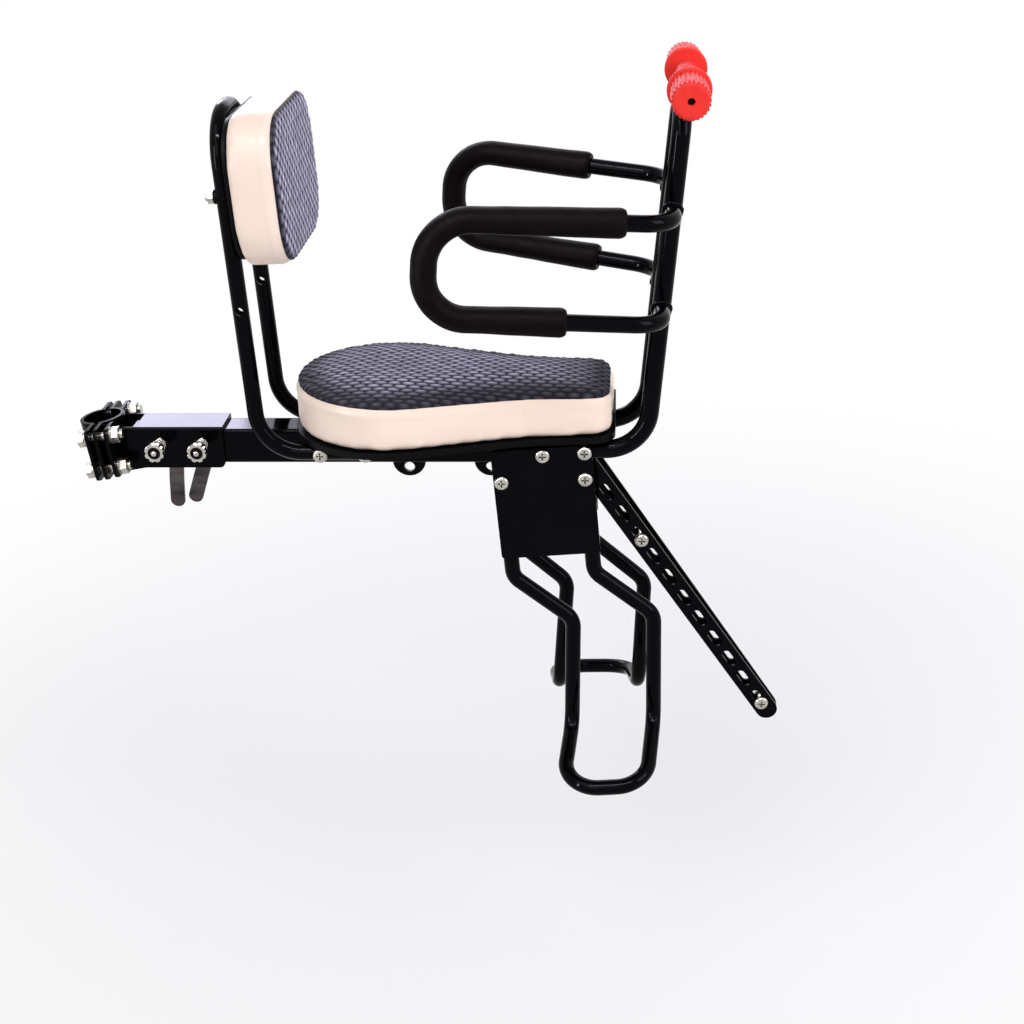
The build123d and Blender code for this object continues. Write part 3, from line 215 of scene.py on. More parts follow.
ml.new(m_cloud.outputs["Fac"], m_rough.inputs["Value"])
ml.new(m_in.outputs["Rough Low"], m_rough.inputs["To Min"])
ml.new(m_in.outputs["Rough High"], m_rough.inputs["To Max"])
ml.new(m_mix.outputs["Result"], m_out.inputs["Color"])
ml.new(m_rough.outputs["Result"], m_out.inputs["Roughness"])
ml.new(m_grain.outputs["Fac"], m_out.inputs["Height"])


def mottled(name, tones, scales, roughs, bump, metallic, round_edge):
    """A Principled material fed by the mottle group, with a small bump and softened edges."""
    made = bpy.data.materials.new(name)
    made.use_nodes = True
    nodes, links = made.node_tree.nodes, made.node_tree.links
    bsdf = nodes["Principled BSDF"]
    bsdf.inputs["Metallic"].default_value = metallic
    grain = nodes.new("ShaderNodeGroup")
    grain.node_tree = mottle
    grain.inputs["Tone A"].default_value = (*tones[0], 1)
    grain.inputs["Tone B"].default_value = (*tones[1], 1)
    grain.inputs["Cloud Scale"].default_value = scales[0]
    grain.inputs["Grain Scale"].default_value = scales[1]
    grain.inputs["Rough Low"].default_value = roughs[0]
    grain.inputs["Rough High"].default_value = roughs[1]
    links.new(grain.outputs["Color"], bsdf.inputs["Base Color"])
    links.new(grain.outputs["Roughness"], bsdf.inputs["Roughness"])
    height = nodes.new("ShaderNodeBump")
    height.inputs["Strength"].default_value = bump
    height.inputs["Distance"].default_value = 0.0002
    links.new(grain.outputs["Height"], height.inputs["Height"])
    if round_edge:
        edge = nodes.new("ShaderNodeBevel")
        edge.samples = 4
        edge.inputs["Radius"].default_value = round_edge
        links.new(edge.outputs["Normal"], height.inputs["Normal"])
    links.new(height.outputs["Normal"], bsdf.inputs["Normal"])
    return made, bsdf


def dress(material, *names):
    """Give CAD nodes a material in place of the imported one."""
    for name in names:
        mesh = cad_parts[name].data
        mesh.materials.clear()
        mesh.materials.append(material)


PAINT_TONES = ((0.0005, 0.0005, 0.0008), (0.0014, 0.0012, 0.0021))
black_paint, bsdf = mottled("black_gloss_paint", PAINT_TONES, (22, 420), (0.05, 0.12), 0.12, 0, 0.0008)
bsdf.inputs["Specular IOR Level"].default_value = 0.05
bsdf.inputs["Specular Tint"].default_value = (0.86, 0.84, 1.0, 1)
dress(
    black_paint,
    "clamp_front_half", "clamp_rear_half", "sleeve_bracket", "main_beam", "beam_lugs", "rear_saddle",
    "front_saddle", "back_frame", "front_frame", "guard_hoop_left", "guard_hoop_right", "handle_bar",
    "foot_plate_left", "foot_plate_right", "foot_hoop_left", "foot_hoop_right", "strut_bar_left",
    "strut_bar_right", "pivot_spacers",
)

# Weld beads where the guard hoops meet the uprights of the front frame: four closed runs of steel drops that
# overlap. They are laid by hand in short steps and painted with the tubes, so they shine as the paint does.
LEAN = math.radians(5.6)
UPRIGHT_R = 0.008
UPRIGHT_Y = 0.036
MEETING_XZ = ((0.50667, 0.2163), (0.4985, 0.1331))
RUN_R = 0.0074
RUN_POINTS = 40
PROUD = 0.0003
bead = bpy.data.node_groups.new("weld_bead", "GeometryNodeTree")
bead.interface.new_socket("Geometry", in_out="INPUT", socket_type="NodeSocketGeometry")
for label, value in (("Pitch", 0.0014), ("Drop", 0.0017)):
    socket = bead.interface.new_socket(label, in_out="INPUT", socket_type="NodeSocketFloat")
    socket.default_value = value
bead.interface.new_socket("Paint", in_out="INPUT", socket_type="NodeSocketMaterial")
bead.interface.new_socket("Geometry", in_out="OUTPUT", socket_type="NodeSocketGeometry")
gn, gl = bead.nodes, bead.links
g_in = gn.new("NodeGroupInput")
g_out = gn.new("NodeGroupOutput")
g_path = gn.new("GeometryNodeMeshToCurve")
g_even = gn.new("GeometryNodeResampleCurve")
g_even.mode = "LENGTH"
g_drop = gn.new("GeometryNodeMeshIcoSphere")
g_drop.inputs["Subdivisions"].default_value = 3
g_lay = gn.new("GeometryNodeInstanceOnPoints")
g_size = gn.new("FunctionNodeRandomValue")
g_size.data_type = "FLOAT"
size_in = {i.identifier: i for i in g_size.inputs}
size_in["Min_001"].default_value = 0.82
size_in["Max_001"].default_value = 1.15
g_size.inputs["Seed"].default_value = 5
g_real = gn.new("GeometryNodeRealizeInstances")
g_smooth = gn.new("GeometryNodeSetShadeSmooth")
g_paint = gn.new("GeometryNodeSetMaterial")
gl.new(g_in.outputs["Geometry"], g_path.inputs["Mesh"])
gl.new(g_path.outputs["Curve"], g_even.inputs["Curve"])
gl.new(g_in.outputs["Pitch"], g_even.inputs["Length"])
gl.new(g_in.outputs["Drop"], g_drop.inputs["Radius"])
gl.new(g_even.outputs["Curve"], g_lay.inputs["Points"])
gl.new(g_drop.outputs["Mesh"], g_lay.inputs["Instance"])
gl.new([o for o in g_size.outputs if o.identifier == "Value_001"][0], g_lay.inputs["Scale"])
gl.new(g_lay.outputs["Instances"], g_real.inputs["Geometry"])
gl.new(g_real.outputs["Geometry"], g_smooth.inputs["Geometry"])
gl.new(g_smooth.outputs["Geometry"], g_paint.inputs["Geometry"])
gl.new(g_in.outputs["Paint"], g_paint.inputs["Material"])
gl.new(g_paint.outputs["Geometry"], g_out.inputs["Geometry"])

points = []
edges = []
for side in (-1, 1):
    for mid_x, mid_z in MEETING_XZ:
        first = len(points)
        for k in range(RUN_POINTS):
            a = 2 * math.pi * k / RUN_POINTS
            off = RUN_R * math.cos(a + LEAN)
            out = UPRIGHT_Y + math.sqrt(UPRIGHT_R ** 2 - off ** 2) + PROUD
            points.append((mid_x + RUN_R * math.cos(a), side * out, mid_z + RUN_R * math.sin(a)))
            edges.append((first + k, first + (k + 1) % RUN_POINTS))
path_mesh = bpy.data.meshes.new("weld_runs")
path_mesh.from_pydata(points, edges, [])
runs = bpy.data.objects.new("weld_runs", path_mesh)
scene.collection.objects.link(runs)
laid = runs.modifiers.new("bead", "NODES")
laid.node_group = bead
ids = {i.name: i.identifier for i in bead.interface.items_tree if i.in_out == "INPUT"}
laid[ids["Pitch"]] = 0.0015
laid[ids["Drop"]] = 0.0018
laid[ids["Paint"]] = black_paint
graph = bpy.context.evaluated_depsgraph_get()
weld_mesh = bpy.data.meshes.new_from_object(runs.evaluated_get(graph), depsgraph=graph)
runs.modifiers.clear()
bpy.data.objects.remove(runs)
welds = bpy.data.objects.new("hoop_welds", weld_mesh)
scene.collection.objects.link(welds)
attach(welds, "seat")

# Plated fasteners: clamp bolts, frame bolts, nuts, washers and the quick-release hardware.
# Steel with a bright zinc plating, a little warm and cloudy, with painted shade in its recesses and corners.
ZINC_TONES = ((0.30, 0.28, 0.25), (0.60, 0.58, 0.54))
zinc, _ = mottled("bright_zinc", ZINC_TONES, (160, 1500), (0.16, 0.32), 0.3, 1.0, 0.0004)


def shade_recesses(material, reach):
    """Paint shade into a plated material in its recesses and corners, within a reach."""
    nodes, links = material.node_tree.nodes, material.node_tree.links
    bsdf = nodes["Principled BSDF"]
    open_sky = nodes.new("ShaderNodeAmbientOcclusion")
    open_sky.samples = 8
    open_sky.inputs["Distance"].default_value = reach
    shade = nodes.new("ShaderNodeMapRange")
    shade.inputs["From Min"].default_value = 0.42
    shade.inputs["From Max"].default_value = 0.85
    deep = nodes.new("ShaderNodeMix")
    deep.data_type = "RGBA"
    deep.inputs["A"].default_value = (0.012, 0.010, 0.009, 1)
    links.new(open_sky.outputs["AO"], shade.inputs["Value"])
    links.new(shade.outputs["Result"], deep.inputs["Factor"])
    links.new(bsdf.inputs["Base Color"].links[0].from_socket, deep.inputs["B"])
    links.new(deep.outputs["Result"], bsdf.inputs["Base Color"])


# Painted shade: the zinc parts go dark in their recesses and corners.
shade_recesses(zinc, 0.0022)
dress(
    zinc,
    "clamp_bolts", "clamp_nuts", "clamp_washers", "back_frame_bolts", "back_frame_nuts", "backrest_bolts",
    "backrest_nuts", "seat_screws", "foot_bolts", "foot_nuts", "pivot_bolt", "pivot_nut", "strut_bolts",
    "strut_nuts", "qr_rods", "qr_pins", "qr_springs", "qr_cam_seats",
)

# Star nuts of the quick releases: zinc plated steel, screwed on the near ends of the rods by hand.
# The dish in the face is painted in shade, dark between the lobed rim and the end of the rod.
ROD_X = (0.054, 0.092)
ROD_Z = 0.0055
DISH_R = 0.0054
DISH_EDGE = 0.0006
STAR_TONES = ((0.32, 0.30, 0.27), (0.62, 0.60, 0.55))
star_zinc, bsdf = mottled("star_nut_zinc", STAR_TONES, (160, 1500), (0.16, 0.30), 0.3, 1.0, 0.0004)
tree = star_zinc.node_tree
spot = tree.nodes.new("ShaderNodeTexCoord")
nearest = tree.nodes.new("ShaderNodeMath")
nearest.operation = "MINIMUM"
for k, rod_x in enumerate(ROD_X):
    aside = tree.nodes.new("ShaderNodeVectorMath")
    aside.operation = "SUBTRACT"
    aside.inputs[1].default_value = (rod_x, 0, ROD_Z)
    flat = tree.nodes.new("ShaderNodeVectorMath")
    flat.operation = "MULTIPLY"
    flat.inputs[1].default_value = (1, 0, 1)
    reach = tree.nodes.new("ShaderNodeVectorMath")
    reach.operation = "LENGTH"
    tree.links.new(spot.outputs["Object"], aside.inputs[0])
    tree.links.new(aside.outputs[0], flat.inputs[0])
    tree.links.new(flat.outputs[0], reach.inputs[0])
    tree.links.new(reach.outputs["Value"], nearest.inputs[k])
# Painted shade: inside the dish the nut's face is dark, out to the lobed rim.
rim = tree.nodes.new("ShaderNodeMapRange")
rim.inputs["From Min"].default_value = DISH_R
rim.inputs["From Max"].default_value = DISH_R + DISH_EDGE
dish_shade = tree.nodes.new("ShaderNodeMix")
dish_shade.data_type = "RGBA"
dish_shade.inputs["A"].default_value = (0.010, 0.009, 0.008, 1)
tree.links.new(nearest.outputs[0], rim.inputs["Value"])
tree.links.new(rim.outputs["Result"], dish_shade.inputs["Factor"])
tree.links.new(bsdf.inputs["Base Color"].links[0].from_socket, dish_shade.inputs["B"])
tree.links.new(dish_shade.outputs["Result"], bsdf.inputs["Base Color"])
dress(star_zinc, "qr_star_nuts")

# Quick-release levers: straps stamped from bare steel, brushed and slightly browned, each on a cross pin at
# the end of its rod. Lighter streaks over the dark steel are painted reflections.
LEVER_TONES = ((0.020, 0.017, 0.020), (0.060, 0.050, 0.052))
lever_steel, bsdf = mottled("brushed_lever_steel", LEVER_TONES, (70, 1100), (0.22, 0.4), 0.4, 1.0, 0.0005)
tree = lever_steel.node_tree
place = tree.nodes.new("ShaderNodeTexCoord")
stretch = tree.nodes.new("ShaderNodeMapping")
stretch.inputs["Scale"].default_value = (25, 25, 110)
reflection_streaks = tree.nodes.new("ShaderNodeTexNoise")
reflection_streaks.inputs["Scale"].default_value = 1.0
reflection_streaks.inputs["Detail"].default_value = 3.0
bands = tree.nodes.new("ShaderNodeMapRange")
bands.inputs["From Min"].default_value = 0.35
bands.inputs["From Max"].default_value = 0.80
# Painted reflection: lighter streaks laid over the dark steel.
bright = tree.nodes.new("ShaderNodeMix")
bright.data_type = "RGBA"
bright.inputs["B"].default_value = (0.12, 0.103, 0.10, 1)
tree.links.new(place.outputs["Object"], stretch.inputs["Vector"])
tree.links.new(stretch.outputs["Vector"], reflection_streaks.inputs["Vector"])
tree.links.new(reflection_streaks.outputs["Fac"], bands.inputs["Value"])
tree.links.new(bands.outputs["Result"], bright.inputs["Factor"])
tree.links.new(bsdf.inputs["Base Color"].links[0].from_socket, bright.inputs["A"])
tree.links.new(bright.outputs["Result"], bsdf.inputs["Base Color"])
dress(lever_steel, "qr_lever_rear", "qr_lever_front")

# Black mouldings: tube plugs, spacers, backrest board and seat pan, in satin polypropylene with a fine grain.
# The plugs are pushed into the tubes, and the board and the pan carry the padding.
PLASTIC_TONES = ((0.0012, 0.0011, 0.0014), (0.0030, 0.0027, 0.0036))
black_plastic, bsdf = mottled("black_satin_plastic", PLASTIC_TONES, (40, 1400), (0.32, 0.5), 0.5, 0, 0.0006)
bsdf.inputs["Specular IOR Level"].default_value = 0.05
dress(
    black_plastic,
    "beam_plug", "back_frame_plugs", "front_frame_plugs", "backrest_spacers", "backrest_board", "seat_pan",
)

# Seat cushion: foam on the pan under a cream vinyl side band and a woven top, sewn together along one seam.
# It is blown up once as a closed cushion that is held at its base and seam, then parted along the seam.
def corner_arc(before, at, after, radius, steps=12):
    """Points of the arc that rounds a corner."""
    to_before = (before - at) / np.linalg.norm(before - at)
    to_after = (after - at) / np.linalg.norm(after - at)
    half = 0.5 * math.acos(float(np.clip(to_before @ to_after, -1, 1)))
    middle = (to_before + to_after) / np.linalg.norm(to_before + to_after)
    centre = at + middle * radius / math.sin(half)
    start = at + to_before * radius / math.tan(half) - centre
    end = at + to_after * radius / math.tan(half) - centre
    first = math.atan2(start[1], start[0])
    sweep = (math.atan2(end[1], end[0]) - first + math.pi) % (2 * math.pi) - math.pi
    turns = [first + sweep * k / steps for k in range(steps + 1)]
    return [centre + radius * np.array((math.cos(a), math.sin(a))) for a in turns]


def even_loop(points, spacing):
    """The same closed outline in even steps, anticlockwise."""
    ring = np.array(points)
    ring = np.vstack([ring, ring[:1]])
    area = np.sum(ring[:-1, 0] * ring[1:, 1] - ring[1:, 0] * ring[:-1, 1])
    if area < 0:
        ring = ring[::-1]
    run = np.concatenate([[0], np.cumsum(np.linalg.norm(np.diff(ring, axis=0), axis=1))])
    stops = np.linspace(0, run[-1], int(round(run[-1] / spacing)), endpoint=False)
    return np.stack([np.interp(stops, run, ring[:, 0]), np.interp(stops, run, ring[:, 1])], -1)


def inset(ring, amount):
    """An outline moved inward along its own normals."""
    along = np.roll(ring, -1, axis=0) - np.roll(ring, 1, axis=0)
    along /= np.linalg.norm(along, axis=1, keepdims=True)
    return ring + amount * np.stack([-along[:, 1], along[:, 0]], -1)


def positions(mesh):
    """Vertex places of a mesh as an array."""
    flat = np.empty(len(mesh.vertices) * 3)
    mesh.vertices.foreach_get("co", flat)
    return flat.reshape(-1, 3)


def normals(mesh):
    """Vertex normals of a mesh as an array."""
    flat = np.empty(len(mesh.vertices) * 3)
    mesh.vertex_normals.foreach_get("vector", flat)
    return flat.reshape(-1, 3)


def put(mesh, places):
    """Write vertex places back to a mesh."""
    mesh.vertices.foreach_set("co", np.ascontiguousarray(places).ravel())
    mesh.update()


def baked(holder):
    """The mesh of an object with its modifiers worked in."""
    graph = bpy.context.evaluated_depsgraph_get()
    return bpy.data.meshes.new_from_object(holder.evaluated_get(graph), depsgraph=graph).copy()


def blown_cushion(name, ring, high, seam, cap):
    """A closed cushion on the plane w = 0: remeshed, blown up while held at its base and seam, and capped."""
    steps = [(0.001, 0.0002), (0.0004, 0.003), (0.0004, seam - 0.004), (0.0, seam), (0.001, high - 0.004)]
    steps += [(0.0035, high - 0.0012), (0.009, high)]
    points = []
    faces = []
    count = len(ring)
    for back, level in steps:
        points += [(x, y, level) for x, y in inset(ring, back)]
    for k in range(len(steps) - 1):
        for i in range(count):
            j = (i + 1) % count
            faces.append((k * count + i, k * count + j, (k + 1) * count + j, (k + 1) * count + i))
    faces.append(tuple(range(count))[::-1])
    faces.append(tuple((len(steps) - 1) * count + i for i in range(count)))
    mesh = bpy.data.meshes.new(name)
    mesh.from_pydata(points, [], faces)
    mesh.validate()
    holder = bpy.data.objects.new(name + "_blank", mesh)
    scene.collection.objects.link(holder)
    grid = holder.modifiers.new("grid", "REMESH")
    grid.mode = "VOXEL"
    grid.voxel_size = 0.005
    mesh = baked(holder)
    holder.modifiers.clear()
    holder.data = mesh
    fair = holder.modifiers.new("fair", "SMOOTH")
    fair.factor = 0.5
    fair.iterations = 3
    mesh = baked(holder)
    holder.modifiers.clear()
    holder.data = mesh
    rest = positions(mesh)
    grip = holder.vertex_groups.new(name="held")
    for i, w in enumerate(rest[:, 2]):
        hold = 1.0 if w < 0.003 else 0.75 * math.exp(-(((w - seam) / 0.004) ** 2))
        grip.add([i], hold, "REPLACE")
    cloth = holder.modifiers.new("cloth", "CLOTH")
    cloth.settings.quality = 6
    cloth.settings.mass = 0.25
    cloth.settings.tension_stiffness = 12
    cloth.settings.compression_stiffness = 12
    cloth.settings.bending_stiffness = 0.6
    cloth.settings.use_pressure = True
    cloth.settings.uniform_pressure_force = 4
    cloth.settings.effector_weights.gravity = 0
    cloth.settings.vertex_group_mass = "held"
    cloth.point_cache.frame_start = 1
    cloth.point_cache.frame_end = 20
    for tick in range(1, 21):
        scene.frame_set(tick)
    moved = positions(baked(holder))
    holder.modifiers.clear()
    scene.frame_set(1)
    step = moved - rest
    length = np.linalg.norm(step, axis=1, keepdims=True)
    put(mesh, rest + step * np.minimum(1, cap / np.maximum(length, 1e-9)))
    bpy.data.objects.remove(holder)
    return mesh


def parted(mesh, name, point, normal, keep_top, levels):
    """One side of a cushion, cut along its seam, made finer and closed again."""
    work = bmesh.new()
    work.from_mesh(mesh)
    everything = work.verts[:] + work.edges[:] + work.faces[:]
    bmesh.ops.bisect_plane(
        work, geom=everything, plane_co=point, plane_no=normal, clear_inner=keep_top, clear_outer=not keep_top
    )
    open_mesh = bpy.data.meshes.new(name)
    work.to_mesh(open_mesh)
    work.free()
    holder = bpy.data.objects.new(name + "_open", open_mesh)
    scene.collection.objects.link(holder)
    finer = holder.modifiers.new("finer", "SUBSURF")
    finer.levels = levels
    finer.render_levels = levels
    fine = baked(holder)
    bpy.data.objects.remove(holder)
    work = bmesh.new()
    work.from_mesh(fine)
    bmesh.ops.holes_fill(work, edges=[e for e in work.edges if e.is_boundary])
    bmesh.ops.recalc_face_normals(work, faces=work.faces[:])
    work.to_mesh(fine)
    work.free()
    fine.name = name
    fine.polygons.foreach_set("use_smooth", [len(p.vertices) < 9 for p in fine.polygons])
    return fine


WEAVE_LONG = 0.0118
WEAVE_ROW = 0.0056
WEAVE_DEPTH = 0.0014


def woven_height(along, across):
    """Floats of the weave, 1 on a crown and 0 in a gap: long cells in rows that are staggered by half."""
    row = np.floor(across / WEAVE_ROW)
    cell = along / WEAVE_LONG + 0.5 * np.mod(row, 2)
    return np.abs(np.sin(np.pi * cell)) ** 1.4 * np.abs(np.sin(np.pi * across / WEAVE_ROW)) ** 0.8


def weave_into(mesh, seam_point, seam_normal, along_axis, across_axis, row_way):
    """Draw the weave into the panel, its rows sloping one way or the other, and pull its rim in at the seam.

    The pattern and the painted shade of the roll near the seam are kept on the mesh for the material.
    """
    places = positions(mesh)
    facing = normals(mesh)
    above = (places - seam_point) @ seam_normal
    top = np.clip(above / 0.004, 0, 1)
    outward = facing - np.outer(facing @ seam_normal, seam_normal)
    long_way = places[:, along_axis].copy()
    cross_way = row_way * places[:, across_axis]
    places += facing * (WEAVE_DEPTH * top * (woven_height(long_way, cross_way) - 0.5))[:, None]
    places -= outward * (0.0016 * np.exp(-((above / 0.002) ** 2)))[:, None]
    put(mesh, places)
    layer = mesh.uv_layers.new(name="weave")
    corner = np.empty(len(mesh.loops), dtype=int)
    mesh.loops.foreach_get("vertex_index", corner)
    flat = np.stack([long_way[corner] / WEAVE_LONG, cross_way[corner] / WEAVE_ROW], -1)
    layer.data.foreach_set("uv", flat.ravel())
    # Painted shade: how far the cover has rolled over towards the seam, for the material to darken it.
    roll = mesh.attributes.new("roll", "FLOAT", "POINT")
    roll.data.foreach_set("value", np.clip((0.84 - above / above.max()) / 0.34, 0, 1))


def crinkle(mesh, seam_point, seam_normal, seed):
    """Soft dents in the vinyl band, and its rim pulled in at the seam."""
    places = positions(mesh)
    facing = normals(mesh)
    above = (places - seam_point) @ seam_normal
    outward = facing - np.outer(facing @ seam_normal, seam_normal)
    side = np.linalg.norm(outward, axis=1)
    dents = np.empty(len(places))
    for i, (x, y, z) in enumerate(places):
        broad = noise.noise(Vector((x * 26 + seed, y * 26, z * 40)))
        small = noise.noise(Vector((x * 75, y * 75 + seed, z * 130)))
        dents[i] = 0.00055 * broad + 0.00022 * small
    places += outward * (dents * np.clip(-above / 0.004, 0, 1))[:, None]
    places -= outward * (0.0018 * np.exp(-((above / 0.0024) ** 2)))[:, None]
    places += outward * (0.0006 * np.exp(-(((above + 0.0062) / 0.0016) ** 2)) * side)[:, None]
    put(mesh, places)


def stood(mesh, matrix, name, body):
    """A finished mesh moved to its place and hung on its body."""
    mesh.transform(matrix)
    piece = bpy.data.objects.new(name, mesh)
    scene.collection.objects.link(piece)
    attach(piece, body)
    return piece


woven, v_in, v_out = shader_group(
    "woven_cells",
    [
        ("UV", "NodeSocketVector", (0, 0, 0)),
        ("Roll Shade", "NodeSocketFloat", 0.0),
        ("Crown", "NodeSocketColor", (1, 1, 1, 1)),
        ("Gap", "NodeSocketColor", (0, 0, 0, 1)),
    ],
    [("Color", "NodeSocketColor"), ("Roughness", "NodeSocketFloat"), ("Height", "NodeSocketFloat")],
)


def sums(tree, kind, first, second=0.0):
    """A math node in a tree, fed by sockets or numbers."""
    node = tree.nodes.new("ShaderNodeMath")
    node.operation = kind
    for slot, value in ((0, first), (1, second)):
        if isinstance(value, (int, float)):
            node.inputs[slot].default_value = value
        else:
            tree.links.new(value, node.inputs[slot])
    return node.outputs[0]


v_split = woven.nodes.new("ShaderNodeSeparateXYZ")
woven.links.new(v_in.outputs["UV"], v_split.inputs[0])
v_row = sums(woven, "FLOOR", v_split.outputs["Y"])
v_odd = sums(woven, "FLOORED_MODULO", v_row, 2.0)
v_cell = sums(woven, "ADD", v_split.outputs["X"], sums(woven, "MULTIPLY", v_odd, 0.5))
v_long = sums(woven, "ABSOLUTE", sums(woven, "SINE", sums(woven, "MULTIPLY", v_cell, math.pi)))
v_wide = sums(woven, "ABSOLUTE", sums(woven, "SINE", sums(woven, "MULTIPLY", v_split.outputs["Y"], math.pi)))
v_height = sums(woven, "MULTIPLY", sums(woven, "POWER", v_long, 1.4), sums(woven, "POWER", v_wide, 0.9))
v_id = woven.nodes.new("ShaderNodeCombineXYZ")
woven.links.new(sums(woven, "FLOOR", v_cell), v_id.inputs["X"])
woven.links.new(v_row, v_id.inputs["Y"])
v_random = woven.nodes.new("ShaderNodeTexWhiteNoise")
v_random.noise_dimensions = "2D"
woven.links.new(v_id.outputs[0], v_random.inputs["Vector"])
v_thread = woven.nodes.new("ShaderNodeTexNoise")
v_thread.inputs["Scale"].default_value = 7.0
v_thread.inputs["Detail"].default_value = 4.0
woven.links.new(v_in.outputs["UV"], v_thread.inputs["Vector"])
v_vary = sums(woven, "MULTIPLY_ADD", v_random.outputs["Value"], 0.35)
v_vary.node.inputs[2].default_value = 0.72
# Painted light: each row of cells is brighter towards one edge, as light falling across the relief would make
# it.
v_far_lit = sums(woven, "MULTIPLY_ADD", sums(woven, "FRACT", v_split.outputs["Y"]), 1.0)
v_far_lit.node.inputs[2].default_value = 0.25
v_shade = sums(woven, "MULTIPLY", sums(woven, "MULTIPLY", v_height, v_far_lit), v_vary)
# The colour runs from gap to crown with the height of the floats: painted shade in the gaps, a painted
# highlight on the crowns.
v_mix = woven.nodes.new("ShaderNodeMix")
v_mix.data_type = "RGBA"
v_mix.clamp_factor = True
woven.links.new(v_shade, v_mix.inputs["Factor"])
woven.links.new(v_in.outputs["Gap"], v_mix.inputs["A"])
woven.links.new(v_in.outputs["Crown"], v_mix.inputs["B"])
# Painted shade: the cover goes near-black where it rolls over towards the seam.
v_roll_shade = woven.nodes.new("ShaderNodeMix")
v_roll_shade.data_type = "RGBA"
v_roll_shade.inputs["B"].default_value = (0.006, 0.005, 0.011, 1)
woven.links.new(sums(woven, "MULTIPLY", v_in.outputs["Roll Shade"], 0.9), v_roll_shade.inputs["Factor"])
woven.links.new(v_mix.outputs["Result"], v_roll_shade.inputs["A"])
woven.links.new(v_roll_shade.outputs["Result"], v_out.inputs["Color"])
v_rough = sums(woven, "MULTIPLY_ADD", v_thread.outputs["Fac"], 0.25)
v_rough.node.inputs[2].default_value = 0.42
woven.links.new(v_rough, v_out.inputs["Roughness"])
v_fuzz = sums(woven, "MULTIPLY", v_thread.outputs["Fac"], 0.4)
woven.links.new(sums(woven, "ADD", v_height, v_fuzz), v_out.inputs["Height"])

fabric = bpy.data.materials.new("woven_cover")
fabric.use_nodes = True
nodes, links = fabric.node_tree.nodes, fabric.node_tree.links
bsdf = nodes["Principled BSDF"]
bsdf.inputs["Specular IOR Level"].default_value = 0.1
bsdf.inputs["Sheen Weight"].default_value = 0.02
bsdf.inputs["Sheen Roughness"].default_value = 0.4
bsdf.inputs["Sheen Tint"].default_value = (0.75, 0.72, 1.0, 1)
cells = nodes.new("ShaderNodeGroup")
cells.node_tree = woven
# The lilac crown colour is a painted highlight of the bright surroundings; the gap is the dark cloth in
# painted shade.
cells.inputs["Crown"].default_value = (0.77, 0.73, 0.98, 1)
cells.inputs["Gap"].default_value = (0.008, 0.007, 0.017, 1)
uv = nodes.new("ShaderNodeUVMap")
uv.uv_map = "weave"
roll_shade = nodes.new("ShaderNodeAttribute")
roll_shade.attribute_name = "roll"
links.new(uv.outputs["UV"], cells.inputs["UV"])
links.new(roll_shade.outputs["Fac"], cells.inputs["Roll Shade"])
links.new(cells.outputs["Color"], bsdf.inputs["Base Color"])
links.new(cells.outputs["Roughness"], bsdf.inputs["Roughness"])
fabric_bump = nodes.new("ShaderNodeBump")
fabric_bump.inputs["Strength"].default_value = 0.7
fabric_bump.inputs["Distance"].default_value = 0.0009
links.new(cells.outputs["Height"], fabric_bump.inputs["Height"])
links.new(fabric_bump.outputs["Normal"], bsdf.inputs["Normal"])

VINYL_TONES = ((0.88, 0.71, 0.605), (0.94, 0.78, 0.68))
vinyl, bsdf = mottled("cream_vinyl", VINYL_TONES, (18, 1300), (0.26, 0.4), 0.35, 0, 0)
bsdf.inputs["Specular IOR Level"].default_value = 0.24
bsdf.inputs["Coat Weight"].default_value = 0.05
bsdf.inputs["Coat Roughness"].default_value = 0.2
bsdf.inputs["Subsurface Weight"].default_value = 0.06
bsdf.inputs["Subsurface Radius"].default_value = (0.004, 0.003, 0.002)

SEAT_BASE = 0.021
SEAT_SEAM = 0.039
SEAT_CROWN = 0.0460
SEAT_TILT = math.radians(1.25)
PUFF_MOST = 0.006
OUTLINE_STEP = 0.004
FLANK = math.radians(16.7)
LOBE = np.array((0.264, 0.0))
LOBE_R = 0.086
WAIST_X = 0.383
WAIST_ROUND = 0.2
NOSE_ROUND = 0.019
leave = LOBE + LOBE_R * np.array((math.sin(FLANK), math.cos(FLANK)))
waist = np.array((WAIST_X, leave[1] - (WAIST_X - leave[0]) * math.tan(FLANK)))
nose = np.array((0.4575, 0.048))
flip = np.array((1, -1))
outline = [LOBE + LOBE_R * np.array((math.cos(a), math.sin(a)))
           for a in np.linspace(math.pi / 2 - FLANK, 3 * math.pi / 2 + FLANK, 70)]
outline += corner_arc(leave * flip, waist * flip, nose * flip, WAIST_ROUND)
outline += corner_arc(waist * flip, nose * flip, nose, NOSE_ROUND)
outline += corner_arc(nose * flip, nose, waist, NOSE_ROUND)
outline += corner_arc(nose, waist, leave, WAIST_ROUND)
seat_mesh = blown_cushion("seat", even_loop(outline, OUTLINE_STEP), SEAT_CROWN, SEAT_SEAM, PUFF_MOST)
places = positions(seat_mesh)
places[:, 2] -= math.tan(SEAT_TILT) * (places[:, 0] - LOBE[0]) * places[:, 2] / SEAT_SEAM
put(seat_mesh, places)
seat_point = np.array((LOBE[0], 0, SEAT_SEAM))
seat_normal = np.array((math.sin(SEAT_TILT), 0, math.cos(SEAT_TILT)))
top_mesh = parted(seat_mesh, "seat_cover", seat_point, seat_normal, True, 2)
weave_into(top_mesh, seat_point, seat_normal, 0, 1, 1)
side_mesh = parted(seat_mesh, "seat_side", seat_point, seat_normal, False, 1)
crinkle(side_mesh, seat_point, seat_normal, 3.7)
seat_place = Matrix.Translation((0, 0, SEAT_BASE))
top_mesh.materials.append(fabric)
side_mesh.materials.append(vinyl)
